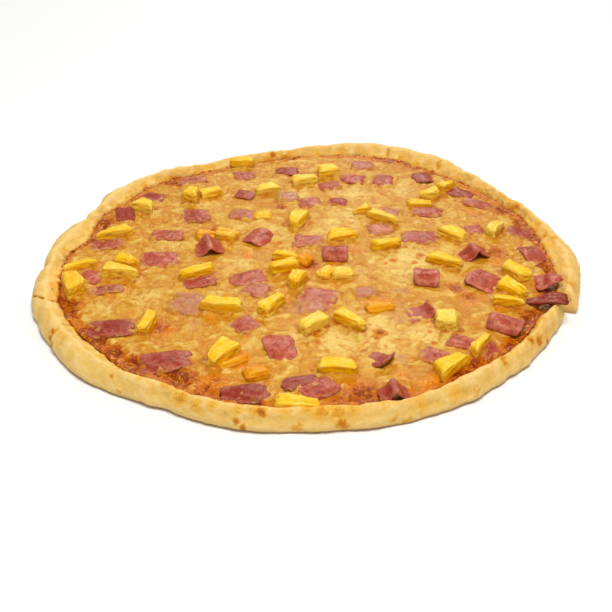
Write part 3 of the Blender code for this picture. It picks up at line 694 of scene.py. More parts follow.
baked_dough = coated_finish(
    "baked_wheat_dough", "#E8BC62",
    (
        ("#E3B052", "golden", 9.0, 0.9, 0.20, 0.95, 0.9),
        ("#F3D28A", None, 6.0, 1.0, 0.04, 0.26, 0.65),
        ("#D6A253", None, 3.0, 1.0, 0.07, 0.28, 0.55),
        ("#F6DCA0", None, 1.5, 1.0, 0.10, 0.32, 0.45),
        ("#C28F45", None, 1.3, 1.0, 0.17, 0.34, 0.50),
        # Painted shade in the dough's hollows and a painted highlight on its ridges
        ("#D2A24A", "hollow", 2.5, 0.9, 0.20, 1.20, 0.55),
        ("#F4D898", "ridge_highlight", 2.5, 0.9, 0.30, 1.30, 0.40),
        # Painted shade low on the rim's outer side
        ("#C79A58", "under", 14.0, 0.6, 0.3, 1.0, 0.75),
        ("#E8AE38", "spill", 2.4, 1.3, 0.15, 0.60, 0.85),
        ("#CC8418", "spill", 1.2, 1.8, 0.62, 0.96, 0.75),
        ("#DE9A26", "brown", 1.6, 0.9, 0.14, 0.42, 0.85),
        ("#C26E04", "brown", 0.9, 0.9, 0.45, 0.72, 0.9),
        ("#8A4204", "brown", 0.7, 0.9, 0.80, 1.05, 0.8),
        ("#D08A24", None, 0.8, 1.0, 0.25, 0.36, 0.60),
        ("#8B8358", "grey", 1.0, 0.3, 0.3, 0.8, 0.6),
        ("#C98A26", "seam", 1.0, 0.3, 0.12, 0.38, 0.8),
        ("#5A3A10", "seam", 1.0, 0.3, 0.45, 0.85, 0.9),
        ("#D98E2C", "stain", 2.4, 1.0, 0.20, 0.65, 0.85),
        ("#B45A0C", "stain", 2.2, 1.2, 0.50, 0.90, 0.9),
        ("#7E2A04", "stain", 2.2, 1.4, 0.75, 1.10, 0.9),
        ("#4C1402", "stain", 1.6, 1.4, 1.00, 1.30, 0.8),
    ),
    roughness=0.75, bumps=((0.7, 0.22), (1.8, 0.35)), soft=0.12, soft_reach=(1.0, 0.55, 0.25), shine=0.25)
store(crust, {**crust_marks, **dough_fields(crust)})
store(crust, {"grain": points_of(crust), "relief": np.ones(len(crust.data.vertices))})
run_tree(crust, RELIEF,
         {"Grain size": 1.6 * MM, "Stretch": (1, 1, 1), "Depth": 0.20 * MM, "Finish": baked_dough})
keep_below(crust, CAD_BOX[1].z)
mark_bulges(crust, 24, 0.30 * MM)
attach(crust, "root")
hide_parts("crust")
print("crust triangles:", sum(len(face.vertices) - 2 for face in crust.data.polygons))

# %% [markdown]
# Tomato sauce shows as a dark baked ring between the cheese and the rim. It is a thin pulpy layer whose
# edge climbs the dough a little, so the ring is built as its own sheet with fine lumps.
# %% Sauce
SAUCE_TURNS = 900
# From the hidden underside round the lip and down again: millimetres past the inner radius and above the top
SAUCE_PROFILE = (
    (-30, -1.5), (-0.8, -1.2), (0.2, 0.3), (1.3, 1.6), (0.7, 1.8), (-0.4, 1.7), (-1.8, 1.5), (-3, 1.3),
    (-5, 1.1), (-7, 0.9), (-9, 0.6), (-11, 0.3), (-13, 0.1), (-15, 0.0), (-18, 0.0), (-60, 0.0),
)
SAUCE_LIP_PLACE = 4


def sauce_height(past_inner):
    """Height of the sauce at this many metres past the inner radius."""
    top = np.array(SAUCE_PROFILE[SAUCE_LIP_PLACE:][::-1]) * MM
    return SAUCE_TOP + np.interp(past_inner, top[:, 0], top[:, 1])


def sauce_rows():
    turns = np.arange(SAUCE_TURNS) * 360.0 / SAUCE_TURNS
    inner = inner_radius(turns)
    circle = ring_points(inner, turns, 0 * turns)
    climb = 1.3 * noise_at(circle, 9 * MM, 14.0) + 0.7 * noise_at(circle, 3.5 * MM, 15.0)
    rows = []
    for offset, rise in SAUCE_PROFILE:
        share = smooth_step(-2.0, 2.0, offset)
        radius = inner + (offset + share * climb) * MM
        height = SAUCE_TOP + (rise + 0.9 * share * climb) * MM
        rows.append(ring_points(radius, turns, height))
    return spline_rows(rows, (1, 2, 3, 2, 3, 3, 3, 3, 3, 3, 3, 3, 3, 3, 3))


rows = sauce_rows()
sauce_points = np.concatenate(rows + [np.array([[0, 0, SAUCE_TOP - 1.5 * MM], [0, 0, SAUCE_TOP]])])
sauce = new_piece("tomato_sauce", sauce_points, ring_faces(len(rows), SAUCE_TURNS))
points, normals = points_of(sauce), normals_of(sauce)
lumps = 0.45 * noise_at(points, 4.0 * MM, 11.0) + 0.30 * noise_at(points, 1.6 * MM, 12.0)
top_side = smooth_step(SAUCE_TOP - 0.8 * MM, SAUCE_TOP - 0.2 * MM, points[:, 2])
move_points(sauce, points + normals * (lumps * top_side * MM)[:, None])
tomato = coated_finish(
    "baked_tomato_sauce", "#9A3C02",
    (
        ("#B85802", None, 5.0, 1.0, -0.08, 0.14, 0.9),
        ("#E69A06", None, 2.0, 1.0, 0.02, 0.16, 0.95),
        ("#701C02", None, 3.4, 1.0, 0.02, 0.16, 0.90),
        ("#300A02", None, 1.4, 1.0, 0.10, 0.22, 0.85),
    ),
    roughness=0.26, bumps=((0.8, 0.35),), soft=0.05, shine=0.20, gleam=WARM_GLEAM)
sauce.data.materials.append(tomato)
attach(sauce, "root")
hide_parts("sauce")
print("sauce points:", len(sauce_points))

# %% [markdown]
# Next come the toppings' places. Proud slices of ham have solids of their own and fixed bends; flat slices
# are part of the cheese's solid. Each entry gives a pixel, a size in millimetres and a turn. The last two
# numbers say how far the cheese has run over the slice and how dark it dried.
# %% Ham places
FLAT = ((-0.5, 0.0), (0.0, 0.4), (0.5, 0.0))
CURL = ((-0.5, 0.0), (-0.1, 0.2), (0.25, 1.6), (0.45, 4.6))
TENT = ((-0.5, 0.2), (-0.22, 2.6), (-0.02, 6.6), (0.18, 3.6), (0.5, 0.2))
ROLL = ((-0.5, 0.6), (-0.34, 3.6), (0.0, 5.2), (0.34, 3.8), (0.5, 0.8))
RAISED = ((-0.5, 0.0), (-0.2, 1.4), (0.2, 2.4), (0.5, 2.9))
ARCH = ((-0.5, 0.0), (-0.25, 1.9), (0.1, 2.4), (0.5, 0.4))
CLIMB = ((-0.5, 0.0), (-0.18, 1.6), (0.1, 4.2), (0.5, 4.8))
PROUD_HAM = (
    ((125, 213), (15, 12), 100, RAISED, 0.0, 0.9), ((259, 236), (17, 19), 150, ARCH, 0.0, 0.3),
    ((335, 249), (16, 16), 92, ROLL, 0.0, 0.6), ((209, 241), (17, 17), 20, TENT, 0.1, 0.5),
    ((427, 272), (17, 15), 85, ROLL, 0.0, 0.4), ((484, 280), (20, 18), 140, RAISED, 0.0, 0.3),
    ((475, 247), (18, 12), 20, TENT, 0.0, 0.5), ((532, 252), (20, 13), 105, ARCH, 0.0, 0.6),
    ((506, 320), (14, 20), 62, ROLL, 0.0, 0.45), ((421, 308), (15, 15), 20, CURL, 0.0, 0.6),
    ((395, 386), (16, 12), 12, TENT, 0.0, 0.65), ((379, 354), (15, 14), -35, CURL, 0.1, 0.7),
    ((280, 346), (24, 17), 102, ARCH, 0.0, 0.1), ((549, 277), (16, 13), -5, CLIMB, 0.0, 0.55),
    ((547, 297), (25, 9), -12, CLIMB, 0.0, 1.25),
)
FLAT_HAM = (
    ((245, 175), (15, 14), 10, 0.2, 0.6), ((287, 171), (16, 12), 0, 0.1, 0.9),
    ((330, 185), (15, 12), 20, 0.1, 0.5), ((352, 179), (18, 13), -10, 0.1, 0.4),
    ((383, 180), (18, 13), 85, 0.1, 0.6), ((422, 178), (14, 16), 5, 0.0, 1.0),
    ((460, 192), (17, 12), -25, 0.0, 0.9), ((477, 203), (21, 10), -30, 0.1, 0.5),
    ((427, 211), (20, 13), -10, 0.1, 0.4), ((391, 212), (12, 12), -15, 0.4, 0.3),
    ((192, 180), (21, 13), 20, 0.3, 0.4), ((152, 196), (17, 13), -20, 0.0, 0.8),
    ((196, 215), (18, 17), 5, 0.1, 0.65), ((243, 214), (17, 14), -15, 0.3, 0.3),
    ((245, 194), (14, 11), -20, 0.1, 0.8), ((310, 203), (15, 13), 15, 0.2, 0.4),
    ((338, 201), (10, 12), 85, 0.0, 0.7), ((308, 240), (16, 19), 85, 0.2, 0.3),
    ((380, 228), (16, 15), 10, 0.3, 0.2), ((168, 235), (21, 13), -5, 0.2, 0.2),
    ((107, 244), (22, 12), 12, 0.2, 0.6), ((160, 259), (23, 19), 5, 0.1, 0.2),
    ((90, 276), (15, 14), -20, 0.1, 0.4), ((106, 289), (22, 9), 15, 0.3, 0.7),
    ((200, 281), (21, 12), 20, 0.0, 0.6), ((190, 303), (20, 22), 80, 0.5, 0.1),
    ((248, 277), (20, 16), 20, 0.1, 0.3), ((256, 289), (16, 16), -20, 0.3, 0.3),
    ((318, 297), (21, 22), 70, 0.2, 0.4), ((366, 292), (13, 11), 10, 0.4, 0.2),
    ((420, 236), (22, 16), 0, 0.1, 0.6), ((474, 229), (12, 12), 10, 0.1, 0.4),
    ((520, 231), (17, 14), -20, 0.0, 0.7), ((433, 355), (14, 14), -30, 0.1, 0.4),
    ((461, 341), (14, 12), -25, 0.0, 0.5), ((489, 348), (12, 12), 20, 0.0, 0.6),
    ((300, 382), (18, 12), 15, 0.0, 1.0), ((318, 387), (20, 16), 30, 0.0, 0.6),
    ((244, 392), (25, 16), 12, 0.0, 1.0), ((166, 360), (28, 17), 10, 0.0, 0.8),
    ((109, 327), (27, 17), 5, 0.0, 0.9), ((245, 325), (15, 15), 45, 0.2, 0.4),
    ((312, 307), (16, 12), 10, 0.4, 0.1), ((362, 165), (16, 14), 10, 0.3, 0.6),
    ((287, 197), (15, 14), 5, 0.5, 0.1),
)
SLICE_THICKNESS = 1.7 * MM
FLAT_PROUD = 0.25 * MM
SLICE_BED = 0.6 * MM
SLICE_UNEVEN = 0.16
SUNK_EDGE = 0.9 * MM
RIM_CLEARANCE = 2.2 * MM
print("ham slices:", len(PROUD_HAM) + len(FLAT_HAM))

# %% [markdown]
# The cheese is one sheet over a fine square grid. Its height starts from the solid's slow swells, thins to
# a ragged edge, climbs a little against each chunk, and rises over or sinks below each slice of ham. So
# slices show where they truly stand higher than the cheese, with edges as irregular as on the real pizza.
# %% Cheese height
CHEESE_MARGIN = (
    4.0, 7.5, 4.5, 5.0, 3.0, 6.5, 3.5, 4.0, 6.0, 3.0, 4.5, 5.5, 3.5, 6.0, 6.0, 8.0, 7.0, 5.0, 5.0, 6.0, 5.0,
    6.5, 5.0, 6.5,
)
CHEESE_EDGE_SPAN = 7.0 * MM
GRID_STEP = 0.88 * MM
HIDDEN_EDGE = SAUCE_TOP - 0.7 * MM


def cheese_radius(turns):
    ragged = 1.6 * MM * np.sin(np.radians(23 * turns)) * np.sin(np.radians(7 * turns))
    return inner_radius(turns) - around(CHEESE_MARGIN, turns) * MM + ragged


def plan_noise(x, y, seed, size):
    """Smooth noise over the plan, with lumps of this size in metres."""
    return noise_at(np.stack([x, y, np.full(len(x), seed)], axis=1), size)


def cheese_surface(x, y):
    """The solid's own slow swells."""
    slow = plan_noise(x, y, 0.0, 1 / 22.0)
    quick = plan_noise(x, y, 0.3, 1 / 55.0)
    return CHEESE_LEVEL + CHEESE_SWELL * (slow + 0.6 * quick)


def box_distance(x, y, middle, half, turn):
    """Distance outside a turned rectangle, negative inside it."""
    angle = math.radians(turn)
    across = (x - middle[0]) * math.cos(angle) + (y - middle[1]) * math.sin(angle)
    along = -(x - middle[0]) * math.sin(angle) + (y - middle[1]) * math.cos(angle)
    past = np.stack([np.abs(across) - half[0], np.abs(along) - half[1]])
    return np.hypot(*np.maximum(past, 0)) + np.minimum(past.max(axis=0), 0)


def chunk_boxes():
    """Each pineapple solid's middle, half sizes and turn in plan, from its own points."""
    boxes = {}
    for name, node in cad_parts.items():
        if not name.startswith("pineapple"):
            continue
        spots = np.array([vertex.co[:] for vertex in node.data.vertices]) - HUB
        middle = spots.mean(axis=0)
        _, axes = np.linalg.eigh(np.cov((spots - middle)[:, :2].T))
        main = axes[:, 1]
        turn = math.degrees(math.atan2(main[1], main[0]))
        local = (spots - middle)[:, :2] @ np.stack([main, [-main[1], main[0]]], axis=1)
        boxes[name] = (middle, np.ptp(local, axis=0) / 2, turn, spots[:, 2].max())
    return boxes


CHUNKS = chunk_boxes()
GRID_HALF = 200
steps = np.arange(-GRID_HALF, GRID_HALF + 1) * GRID_STEP
grid_x, grid_y = (axis.ravel() for axis in np.meshgrid(steps, steps, indexing="ij"))
grid_turns = np.degrees(np.arctan2(grid_y, grid_x)) % 360.0
inside = cheese_radius(grid_turns) - np.hypot(grid_x, grid_y)
past_inner = np.hypot(grid_x, grid_y) - inner_radius(grid_turns)
keep = past_inner < 1.2 * MM
print("chunks:", len(CHUNKS), "grid points kept:", int(keep.sum()))

# %% [markdown]
# Zones of colour on melted cheese are fields too: where it lies thin the sauce shows through, oil gathers
# in orange pools, milky patches stay pale, and blisters brown. The named zones follow the reference view,
# and noise frays their edges.
# %% Cheese zones
# Pixel, radius in mm, strength
SAUCE_ZONES = (
    ((101, 223), 9, 0.9), ((88, 240), 7, 0.8), ((68, 305), 8, 1.0), ((82, 330), 6, 1.0),
    ((95, 340), 7, 1.0), ((112, 350), 6, 0.9), ((130, 362), 7, 0.8), ((178, 377), 9, 0.9),
    ((215, 380), 9, 0.35), ((205, 390), 9, 0.5), ((160, 327), 8, 0.6), ((175, 180), 7, 0.9),
    ((190, 176), 6, 0.7), ((280, 207), 4, 0.9), ((536, 318), 9, 1.0), ((528, 330), 8, 1.0),
    ((516, 343), 7, 0.9), ((535, 236), 6, 0.9), ((541, 251), 5, 0.9), ((544, 266), 6, 0.9),
    ((310, 264), 7, 0.7), ((362, 393), 11, 0.7), ((497, 252), 8, 0.55), ((460, 375), 9, 0.8),
    ((483, 364), 8, 0.8), ((390, 158), 9, 0.7), ((415, 166), 8, 0.6), ((430, 172), 6, 0.7),
    ((524, 222), 7, 0.9), ((503, 210), 7, 0.8), ((470, 193), 5, 0.5), ((545, 290), 8, 0.7),
    ((455, 288), 6, 0.6), ((470, 296), 6, 0.5), ((212, 229), 6, 0.5), ((225, 362), 6, 0.6),
    ((255, 403), 7, 0.6), ((340, 397), 7, 0.5),
)
OIL_ZONES = (
    ((232, 360), 10, 0.9), ((218, 388), 9, 0.9), ((165, 330), 8, 0.7), ((256, 370), 6, 0.9),
    ((304, 256), 7, 1.0), ((380, 303), 9, 0.8), ((247, 255), 6, 0.7), ((206, 232), 7, 1.0),
    ((225, 231), 6, 0.5), ((497, 262), 9, 0.6), ((470, 300), 12, 0.5), ((435, 383), 9, 0.8),
    ((355, 385), 9, 0.7), ((455, 372), 8, 0.6), ((120, 290), 10, 0.4), ((210, 318), 9, 0.5),
    ((222, 248), 6, 0.4), ((280, 294), 5, 0.5), ((515, 335), 8, 0.7), ((150, 175), 6, 0.4),
    ((470, 212), 10, 0.5), ((400, 160), 8, 0.6), ((176, 184), 6, 0.7), ((110, 297), 8, 0.4),
    ((130, 312), 6, 0.5), ((330, 262), 6, 0.6), ((356, 250), 6, 0.5), ((500, 310), 8, 0.4),
    ((160, 219), 8, 0.4), ((245, 200), 7, 0.3), ((400, 376), 8, 0.5), ((257, 322), 3, 0.7),
    ((215, 381), 9, 0.9),
)
PALE_ZONES = (
    ((410, 262), 22, 0.9), ((375, 330), 22, 0.8), ((340, 340), 16, 0.8), ((430, 335), 14, 0.8),
    ((400, 250), 14, 0.7), ((275, 228), 9, 0.7), ((350, 215), 16, 0.7), ((205, 205), 12, 0.5),
    ((240, 262), 12, 0.6), ((130, 250), 9, 0.4), ((170, 245), 12, 0.5), ((100, 308), 14, 0.5),
    ((150, 298), 14, 0.5), ((250, 345), 8, 0.5), ((385, 350), 12, 0.7), ((215, 295), 8, 0.6),
    ((330, 222), 9, 0.7), ((266, 317), 7, 0.9), ((300, 196), 12, 0.6), ((250, 186), 12, 0.5),
    ((400, 190), 12, 0.6), ((320, 232), 12, 0.6), ((352, 194), 12, 0.7), ((450, 214), 9, 0.5),
    ((150, 213), 10, 0.5), ((242, 226), 9, 0.6), ((285, 236), 8, 0.6), ((180, 207), 9, 0.5),
    ((440, 205), 9, 0.4), ((300, 335), 9, 0.7),
)
# Ham that lies wholly under the cheese and tints it
BURIED_HAM = (
    ((350, 160), 6, 0.5), ((403, 291), 6, 0.6), ((399, 357), 7, 0.6), ((298, 309), 8, 0.7),
    ((363, 273), 6, 0.5), ((190, 300), 11, 0.8), ((150, 373), 8, 0.6), ((480, 300), 9, 0.4),
    ((400, 315), 14, 0.5), ((145, 262), 6, 0.3), ((500, 332), 8, 0.4), ((260, 198), 7, 0.4),
    ((345, 392), 7, 0.5), ((430, 372), 8, 0.4), ((196, 322), 10, 0.4),
)
CHEESE_BLISTERS = (
    ((372, 278), 2.2, 0.9), ((361, 265), 2.4, 0.8), ((393, 260), 2.6, 0.8), ((405, 247), 2.0, 0.9),
    ((420, 255), 3.0, 0.9), ((380, 333), 4.0, 1.0), ((377, 337), 2.4, 0.9), ((434, 343), 2.2, 0.9),
    ((430, 332), 2.4, 0.7), ((399, 340), 2.0, 0.6), ((315, 335), 2.2, 0.9), ((317, 342), 2.8, 0.8),
    ((247, 336), 2.4, 0.7), ((202, 342), 2.4, 0.6), ((260, 296), 2.4, 0.7), ((335, 284), 2.4, 0.5),
    ((382, 195), 2.6, 0.7), ((264, 252), 2.2, 0.7), ((280, 243), 2.6, 0.8), ((475, 324), 3.0, 0.8),
    ((427, 323), 2.6, 0.7), ((356, 360), 2.4, 0.7), ((415, 262), 2.4, 0.6), ((345, 232), 2.2, 0.4),
    ((300, 186), 2.4, 0.4), ((222, 180), 2.4, 0.5), ((340, 330), 1.8, 0.4), ((330, 266), 2.2, 0.5),
)


BLISTER_REACH = 132 * MM

print("sauce zones:", len(SAUCE_ZONES), "oil zones:", len(OIL_ZONES))

# %% [markdown]
# Each zone fades from its middle with a frayed edge, and the strongest zone wins where two meet. Small
# blisters are too many to place by hand, so a seeded draw scatters them.
# %% Fields of zones


def zone_field(x, y, zones):
    """For each place the strongest of the zones there, with frayed edges."""
    frayed = 1 + 0.45 * plan_noise(x, y, 7.0, 6 * MM) + 0.25 * plan_noise(x, y, 8.0, 2.5 * MM)
    field = np.zeros(len(x))
    for pixel, radius, strength in zones:
        middle = plan(pixel, CHEESE_LEVEL)
        near = np.hypot(x - middle[0], y - middle[1]) / (radius * MM * np.maximum(frayed, 0.4))
        field = np.maximum(field, strength * np.exp(-near ** 2))
    return field


def scattered_blisters(seed, count):
    """Small random browned spots inside the cheese's edge, each given by its pixel."""
    rng = random.Random(seed)
    spots = []
    while len(spots) < count:
        pixel = (rng.uniform(60, 550), rng.uniform(160, 405))
        place = plan(pixel, CHEESE_LEVEL)
        if math.hypot(place[0], place[1]) < BLISTER_REACH:
            spots.append((pixel, rng.uniform(0.7, 1.7), rng.uniform(0.3, 0.8)))
    return tuple(spots)


SMALL_BLISTERS = 170
gx, gy = grid_x[keep], grid_y[keep]
zones = {
    "sauce": zone_field(gx, gy, SAUCE_ZONES), "oil": zone_field(gx, gy, OIL_ZONES),
    "pale": zone_field(gx, gy, PALE_ZONES), "buried": zone_field(gx, gy, BURIED_HAM),
    "brown": zone_field(gx, gy, CHEESE_BLISTERS + scattered_blisters(5, SMALL_BLISTERS)),
}
print("zones:", {label: round(float(field.mean()), 2) for label, field in zones.items()})

# %% [markdown]
# Now the height itself. The order matters: first the edge, then slices of ham, then chunks, then the fine
# wrinkles of melted shreds. Points well outside the edge are dropped below the sauce, where they can't be
# seen.
# %% Cheese sheet


def juice_and_shade_beside_toppings(x, y):
    """1 against a chunk's foot and about half beside a slice's edge, fading away from them in patches: juice,
    browning and painted shade.
    """
    patchy = np.clip(0.75 + 0.9 * plan_noise(x, y, 61.0, 4 * MM), 0, 1)
    field = np.zeros(len(x))
    for middle, half, turn, _ in CHUNKS.values():
        away = box_distance(x, y, middle, half, turn)
        field = np.maximum(field, np.exp(-np.maximum(away, 0) / (1.3 * MM)))
    for pixel, size, turn, *_ in PROUD_HAM + FLAT_HAM:
        middle = plan(pixel, CHEESE_LEVEL + 0.6 * MM)
        away = box_distance(x, y, middle, (size[0] * MM / 2, size[1] * MM / 2), turn)
        field = np.maximum(field, 0.42 * np.exp(-np.maximum(away, 0) / (1.2 * MM)))
    return field * patchy


def ham_cover(x, y, height):
    """Raises the cheese over buried slices and lowers it beside clear ones. Returns height and tint."""
    tint = np.zeros(len(x))
    wander = plan_noise(x, y, 21.0, 4.5 * MM)
    fine = plan_noise(x, y, 22.0, 1.8 * MM)
    for pixel, size, turn, veil, _ in FLAT_HAM:
        middle = plan(pixel, CHEESE_LEVEL + FLAT_PROUD + 0.4 * MM)
        within = -box_distance(x, y, middle, (size[0] * MM / 2, size[1] * MM / 2), turn)
        near = within > -4 * MM
        sunk = SUNK_EDGE * np.exp(-np.maximum(within, 0) / (1.5 * MM))
        slice_top = height + FLAT_PROUD + SLICE_THICKNESS / 2 - sunk
        cover = ((veil - 0.40) * 1.6 + (0.80 + veil) * wander + 0.35 * fine) * MM
        creep = np.maximum(wander + 0.1, 0) * (1 - veil)
        cover = cover + 1.2 * creep * MM * np.exp(-np.maximum(within, 0) / (2.4 * MM))
        share = smooth_step(-1.6 * MM, 0.6 * MM, within) * near
        height = np.where(near, height * (1 - share) + (slice_top + cover) * share, height)
        tint = np.maximum(tint, smooth_step(-1.6 * MM, 1.4 * MM, within + 1.2 * MM * fine) * near)
    return height, tint


def chunk_meniscus(x, y, height):
    wander = 0.75 + 0.6 * plan_noise(x, y, 31.0, 5 * MM)
    for middle, half, turn, _ in CHUNKS.values():
        away = box_distance(x, y, middle, half, turn)
        climb = 1.15 * MM * np.exp(-np.maximum(away, 0) / (1.5 * MM)) * np.maximum(wander, 0)
        height = height + climb * (away < 9 * MM)
    for pixel, size, turn, profile, *_ in PROUD_HAM:
        if profile is CLIMB:
            continue
        middle = plan(pixel, CHEESE_LEVEL + 1 * MM)
        away = box_distance(x, y, middle, (size[0] * MM / 2, size[1] * MM / 2), turn)
        climb = 0.95 * MM * np.exp(-np.abs(away) / (1.4 * MM)) * np.maximum(wander, 0)
        height = height + climb * (away < 9 * MM)
    return height


print("cheese rises round slices and chunks")

# %% [markdown]
# Last come the shreds. Two bent noises give soft folds with narrow veins between them, and their heights
# and their colours come from the same numbers, so that a pale fold is also a raised one.
# %% Cheese wrinkles


def cheese_sheet(x, y, within, past):
    edge_slow = plan_noise(x, y, 41.0, 8 * MM)
    edge_quick = plan_noise(x, y, 42.0, 2.8 * MM)
    within = within + (2.5 + 3.2 * edge_slow + 1.2 * edge_quick) * MM
    share = np.clip(within / CHEESE_EDGE_SPAN, 0, 1)
    rise = (share * (2 - share)) ** 0.7
    low = sauce_height(past) - 0.5 * MM
    height = low + (cheese_surface(x, y) - low) * rise + np.minimum(within, 0) * 0.3
    patches = plan_noise(x, y, 43.0, 9 * MM) + 0.6 * edge_quick + 0.45 - 1.1 * zones["sauce"]
    film = sauce_height(past) + (0.85 * smooth_step(-0.30, 0.45, patches) - 0.45) * MM
    height = np.where(past > 0.4 * MM, low, np.maximum(height, film))
    height, tint = ham_cover(x, y, height)
    height = chunk_meniscus(x, y, height)
    bend = 3.0 * MM * plan_noise(x, y, 51.0, 13 * MM)
    warp = np.stack([0.85 * x + bend, 0.95 * y - bend, np.full(len(x), 0.052)], axis=1)
    coarse = noise_at(warp, 7.5 * MM)
    medium = noise_at(warp, 3.4 * MM, 9.0)
    small = plan_noise(x, y, 53.0, 1.9 * MM)
    vein = np.exp(-(coarse / 0.13) ** 2) + 0.7 * np.exp(-(medium / 0.13) ** 2)
    body = 0.5 + 0.55 * coarse + 0.40 * medium + 0.25 * small - 0.28 * vein
    body = body + 0.30 * zones["pale"] - 0.55 * zones["oil"] - 0.75 * zones["sauce"]
    swell = 0.48 * coarse + 0.30 * medium + 0.15 * small - 0.16 * vein
    height = height + (swell + 0.45 * zones["brown"] - 0.35 * zones["oil"] - 0.6 * zones["sauce"]) * rise * MM
    thin = 1 - smooth_step(0.2 * MM, 2.4 * MM, height - sauce_height(past) + 0.7 * MM * edge_quick)
    return height, tint, thin, body, vein


zones["beside"] = juice_and_shade_beside_toppings(gx, gy)
height, ham_tint, thin, body, vein = cheese_sheet(gx, gy, inside[keep], past_inner[keep])
zones["ham"] = ham_tint
zones["body"] = body
zones["vein"] = vein
zones["thin"] = np.clip(thin + 0.4 * zones["sauce"], 0, 1)
print("cheese height, mm:", round(height.min() / MM, 1), "to", round(height.max() / MM, 1))

# %% [markdown]
# The grid's points become a closed body: the sheet on top, a wall round its hidden edge, and a flat fan
# below.
# %% Cheese body


def height_body(name, x, y, height, kept, bottom, fields):
    """A closed body under a height field on part of a square grid."""
    count = len(steps)
    index = np.full(count * count, -1)
    index[kept] = np.arange(kept.sum())
    index = index.reshape(count, count)
    corners = grid_quads(index)
    quads = corners[(corners >= 0).all(axis=1)]
    edges = np.concatenate([quads[:, [0, 1]], quads[:, [1, 2]], quads[:, [2, 3]], quads[:, [3, 0]]])
    both = {(a, b) for a, b in edges.tolist()}
    border = [(a, b) for a, b in both if (b, a) not in both]
    top = np.stack([x, y, height], axis=1)
    rim = sorted({a for a, _ in border})
    lower = {a: len(top) + place for place, a in enumerate(rim)}
    foot = np.stack([x[rim], y[rim], np.full(len(rim), bottom)], axis=1)
    hub = len(top) + len(rim)
    faces = quads.tolist()
    faces += [(a, lower[a], lower[b], b) for a, b in border]
    faces += [(lower[a], hub, lower[b]) for a, b in border]
    points = np.concatenate([top, foot, [[0, 0, bottom]]])
    used = np.zeros(len(points), bool)
    used[np.unique(np.concatenate([quads.ravel(), np.arange(len(top), len(points))]))] = True
    fresh = np.cumsum(used) - 1
    faces = [tuple(int(fresh[corner]) for corner in face) for face in faces]
    padded = {label: np.concatenate([field, np.zeros(len(rim) + 1)])[used] for label, field in fields.items()}
    return new_piece(name, points[used], faces, padded)


cheese = height_body("melted_cheese", gx, gy, height, keep, HIDDEN_EDGE, zones)
mark_bulges(cheese, 8, 0.24 * MM)
print("cheese triangles:", sum(len(face.vertices) - 2 for face in cheese.data.polygons))

# %% [markdown]
# Melted cheese is cloudy and soft: creamy yellow, paler where thick, tan to orange where thin. It holds
# light, so a little subsurface scattering softens it, and oil makes it glossier than dough.
# %% Cheese finish
melted_cheese = coated_finish(
    "melted_mozzarella", "#C47C12",
    (
        ("#D2982A", "body", 2.4, 1.0, -0.15, 0.55, 1.0),
        ("#DCB04C", "body", 1.8, 1.2, 0.35, 1.10, 0.9),
        ("#C0803E", None, 12.0, 1.0, 0.03, 0.22, 0.40),
        ("#B86C0A", None, 3.0, 1.0, 0.05, 0.22, 0.50),
        ("#E4C468", "pale", 3.0, 1.4, 0.20, 0.80, 0.85),
        # Painted highlight on raised folds and painted shade in hollows
        ("#ECD282", "ridge_highlight", 1.6, 1.3, 0.30, 1.25, 0.45),
        ("#B4660E", "hollow", 1.6, 1.0, 0.30, 1.15, 0.60),
        # Sparse pale flecks are painted glints of light
        ("#F2DC9C", None, 0.9, 1.0, 0.14, 0.28, 0.60),
        ("#B87418", None, 0.7, 1.0, 0.10, 0.28, 0.45),
        ("#9E4A08", None, 1.3, 1.0, 0.18, 0.26, 0.85),
        ("#C47814", "vein", 1.6, 0.9, 0.60, 1.30, 0.40),
        ("#B0604C", "ham", 3.0, 1.4, 0.45, 1.05, 0.60),
        ("#B87860", "buried", 4.0, 1.0, 0.22, 0.75, 0.60),
        # Brown round the feet of chunks and slices: part juice and browning, part painted shade
        ("#B66608", "beside", 1.8, 1.1, 0.22, 0.80, 0.80),
        ("#8A3C04", "beside", 1.2, 1.1, 0.70, 1.10, 0.70),
        ("#DC7E04", "oil", 1.6, 1.2, 0.25, 0.65, 0.90),
        ("#F0A018", "oil", 0.9, 1.7, 0.62, 0.86, 0.70),
        ("#9C3A02", "oil", 1.1, 1.8, 0.72, 0.92, 0.80),
        ("#C66A06", "thin", 2.4, 1.0, 0.25, 0.80, 0.80),
        ("#BC5A02", "sauce", 2.0, 1.2, 0.18, 0.50, 0.90),
        ("#7E2602", "sauce", 2.6, 1.8, 0.42, 0.72, 0.92),
        ("#E08208", "sauce", 0.9, 1.8, 0.84, 1.02, 0.60),
        ("#2C0802", "sauce", 1.6, 2.2, 0.98, 1.16, 0.85),
        ("#EE9E10", "sauce", 0.9, 2.8, 1.00, 1.16, 0.85),
        ("#CC7404", "brown", 1.0, 0.9, 0.26, 0.42, 0.95),
        ("#843C04", "brown", 0.7, 0.8, 0.66, 0.90, 0.85),
    ),
    roughness=0.30, gloss=("oil", 0.16), bumps=((0.9, 0.40), (2.0, 0.60)), soft=0.3,
    soft_reach=(1.0, 0.6, 0.25), shine=0.26, gleam=WARM_GLEAM)
cheese.data.materials.append(melted_cheese)
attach(cheese, "root")
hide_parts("cheese")
print("cheese dressed")

# %% [markdown]
# Pineapple tidbits are wedges of flesh with fibres that run from the core outwards. Each is remeshed finely
# from its own solid, worn and dented by noise, and then combed along its length by the relief tree.
# %% Pineapple chunks
CHUNK_VOXEL = 0.7 * MM


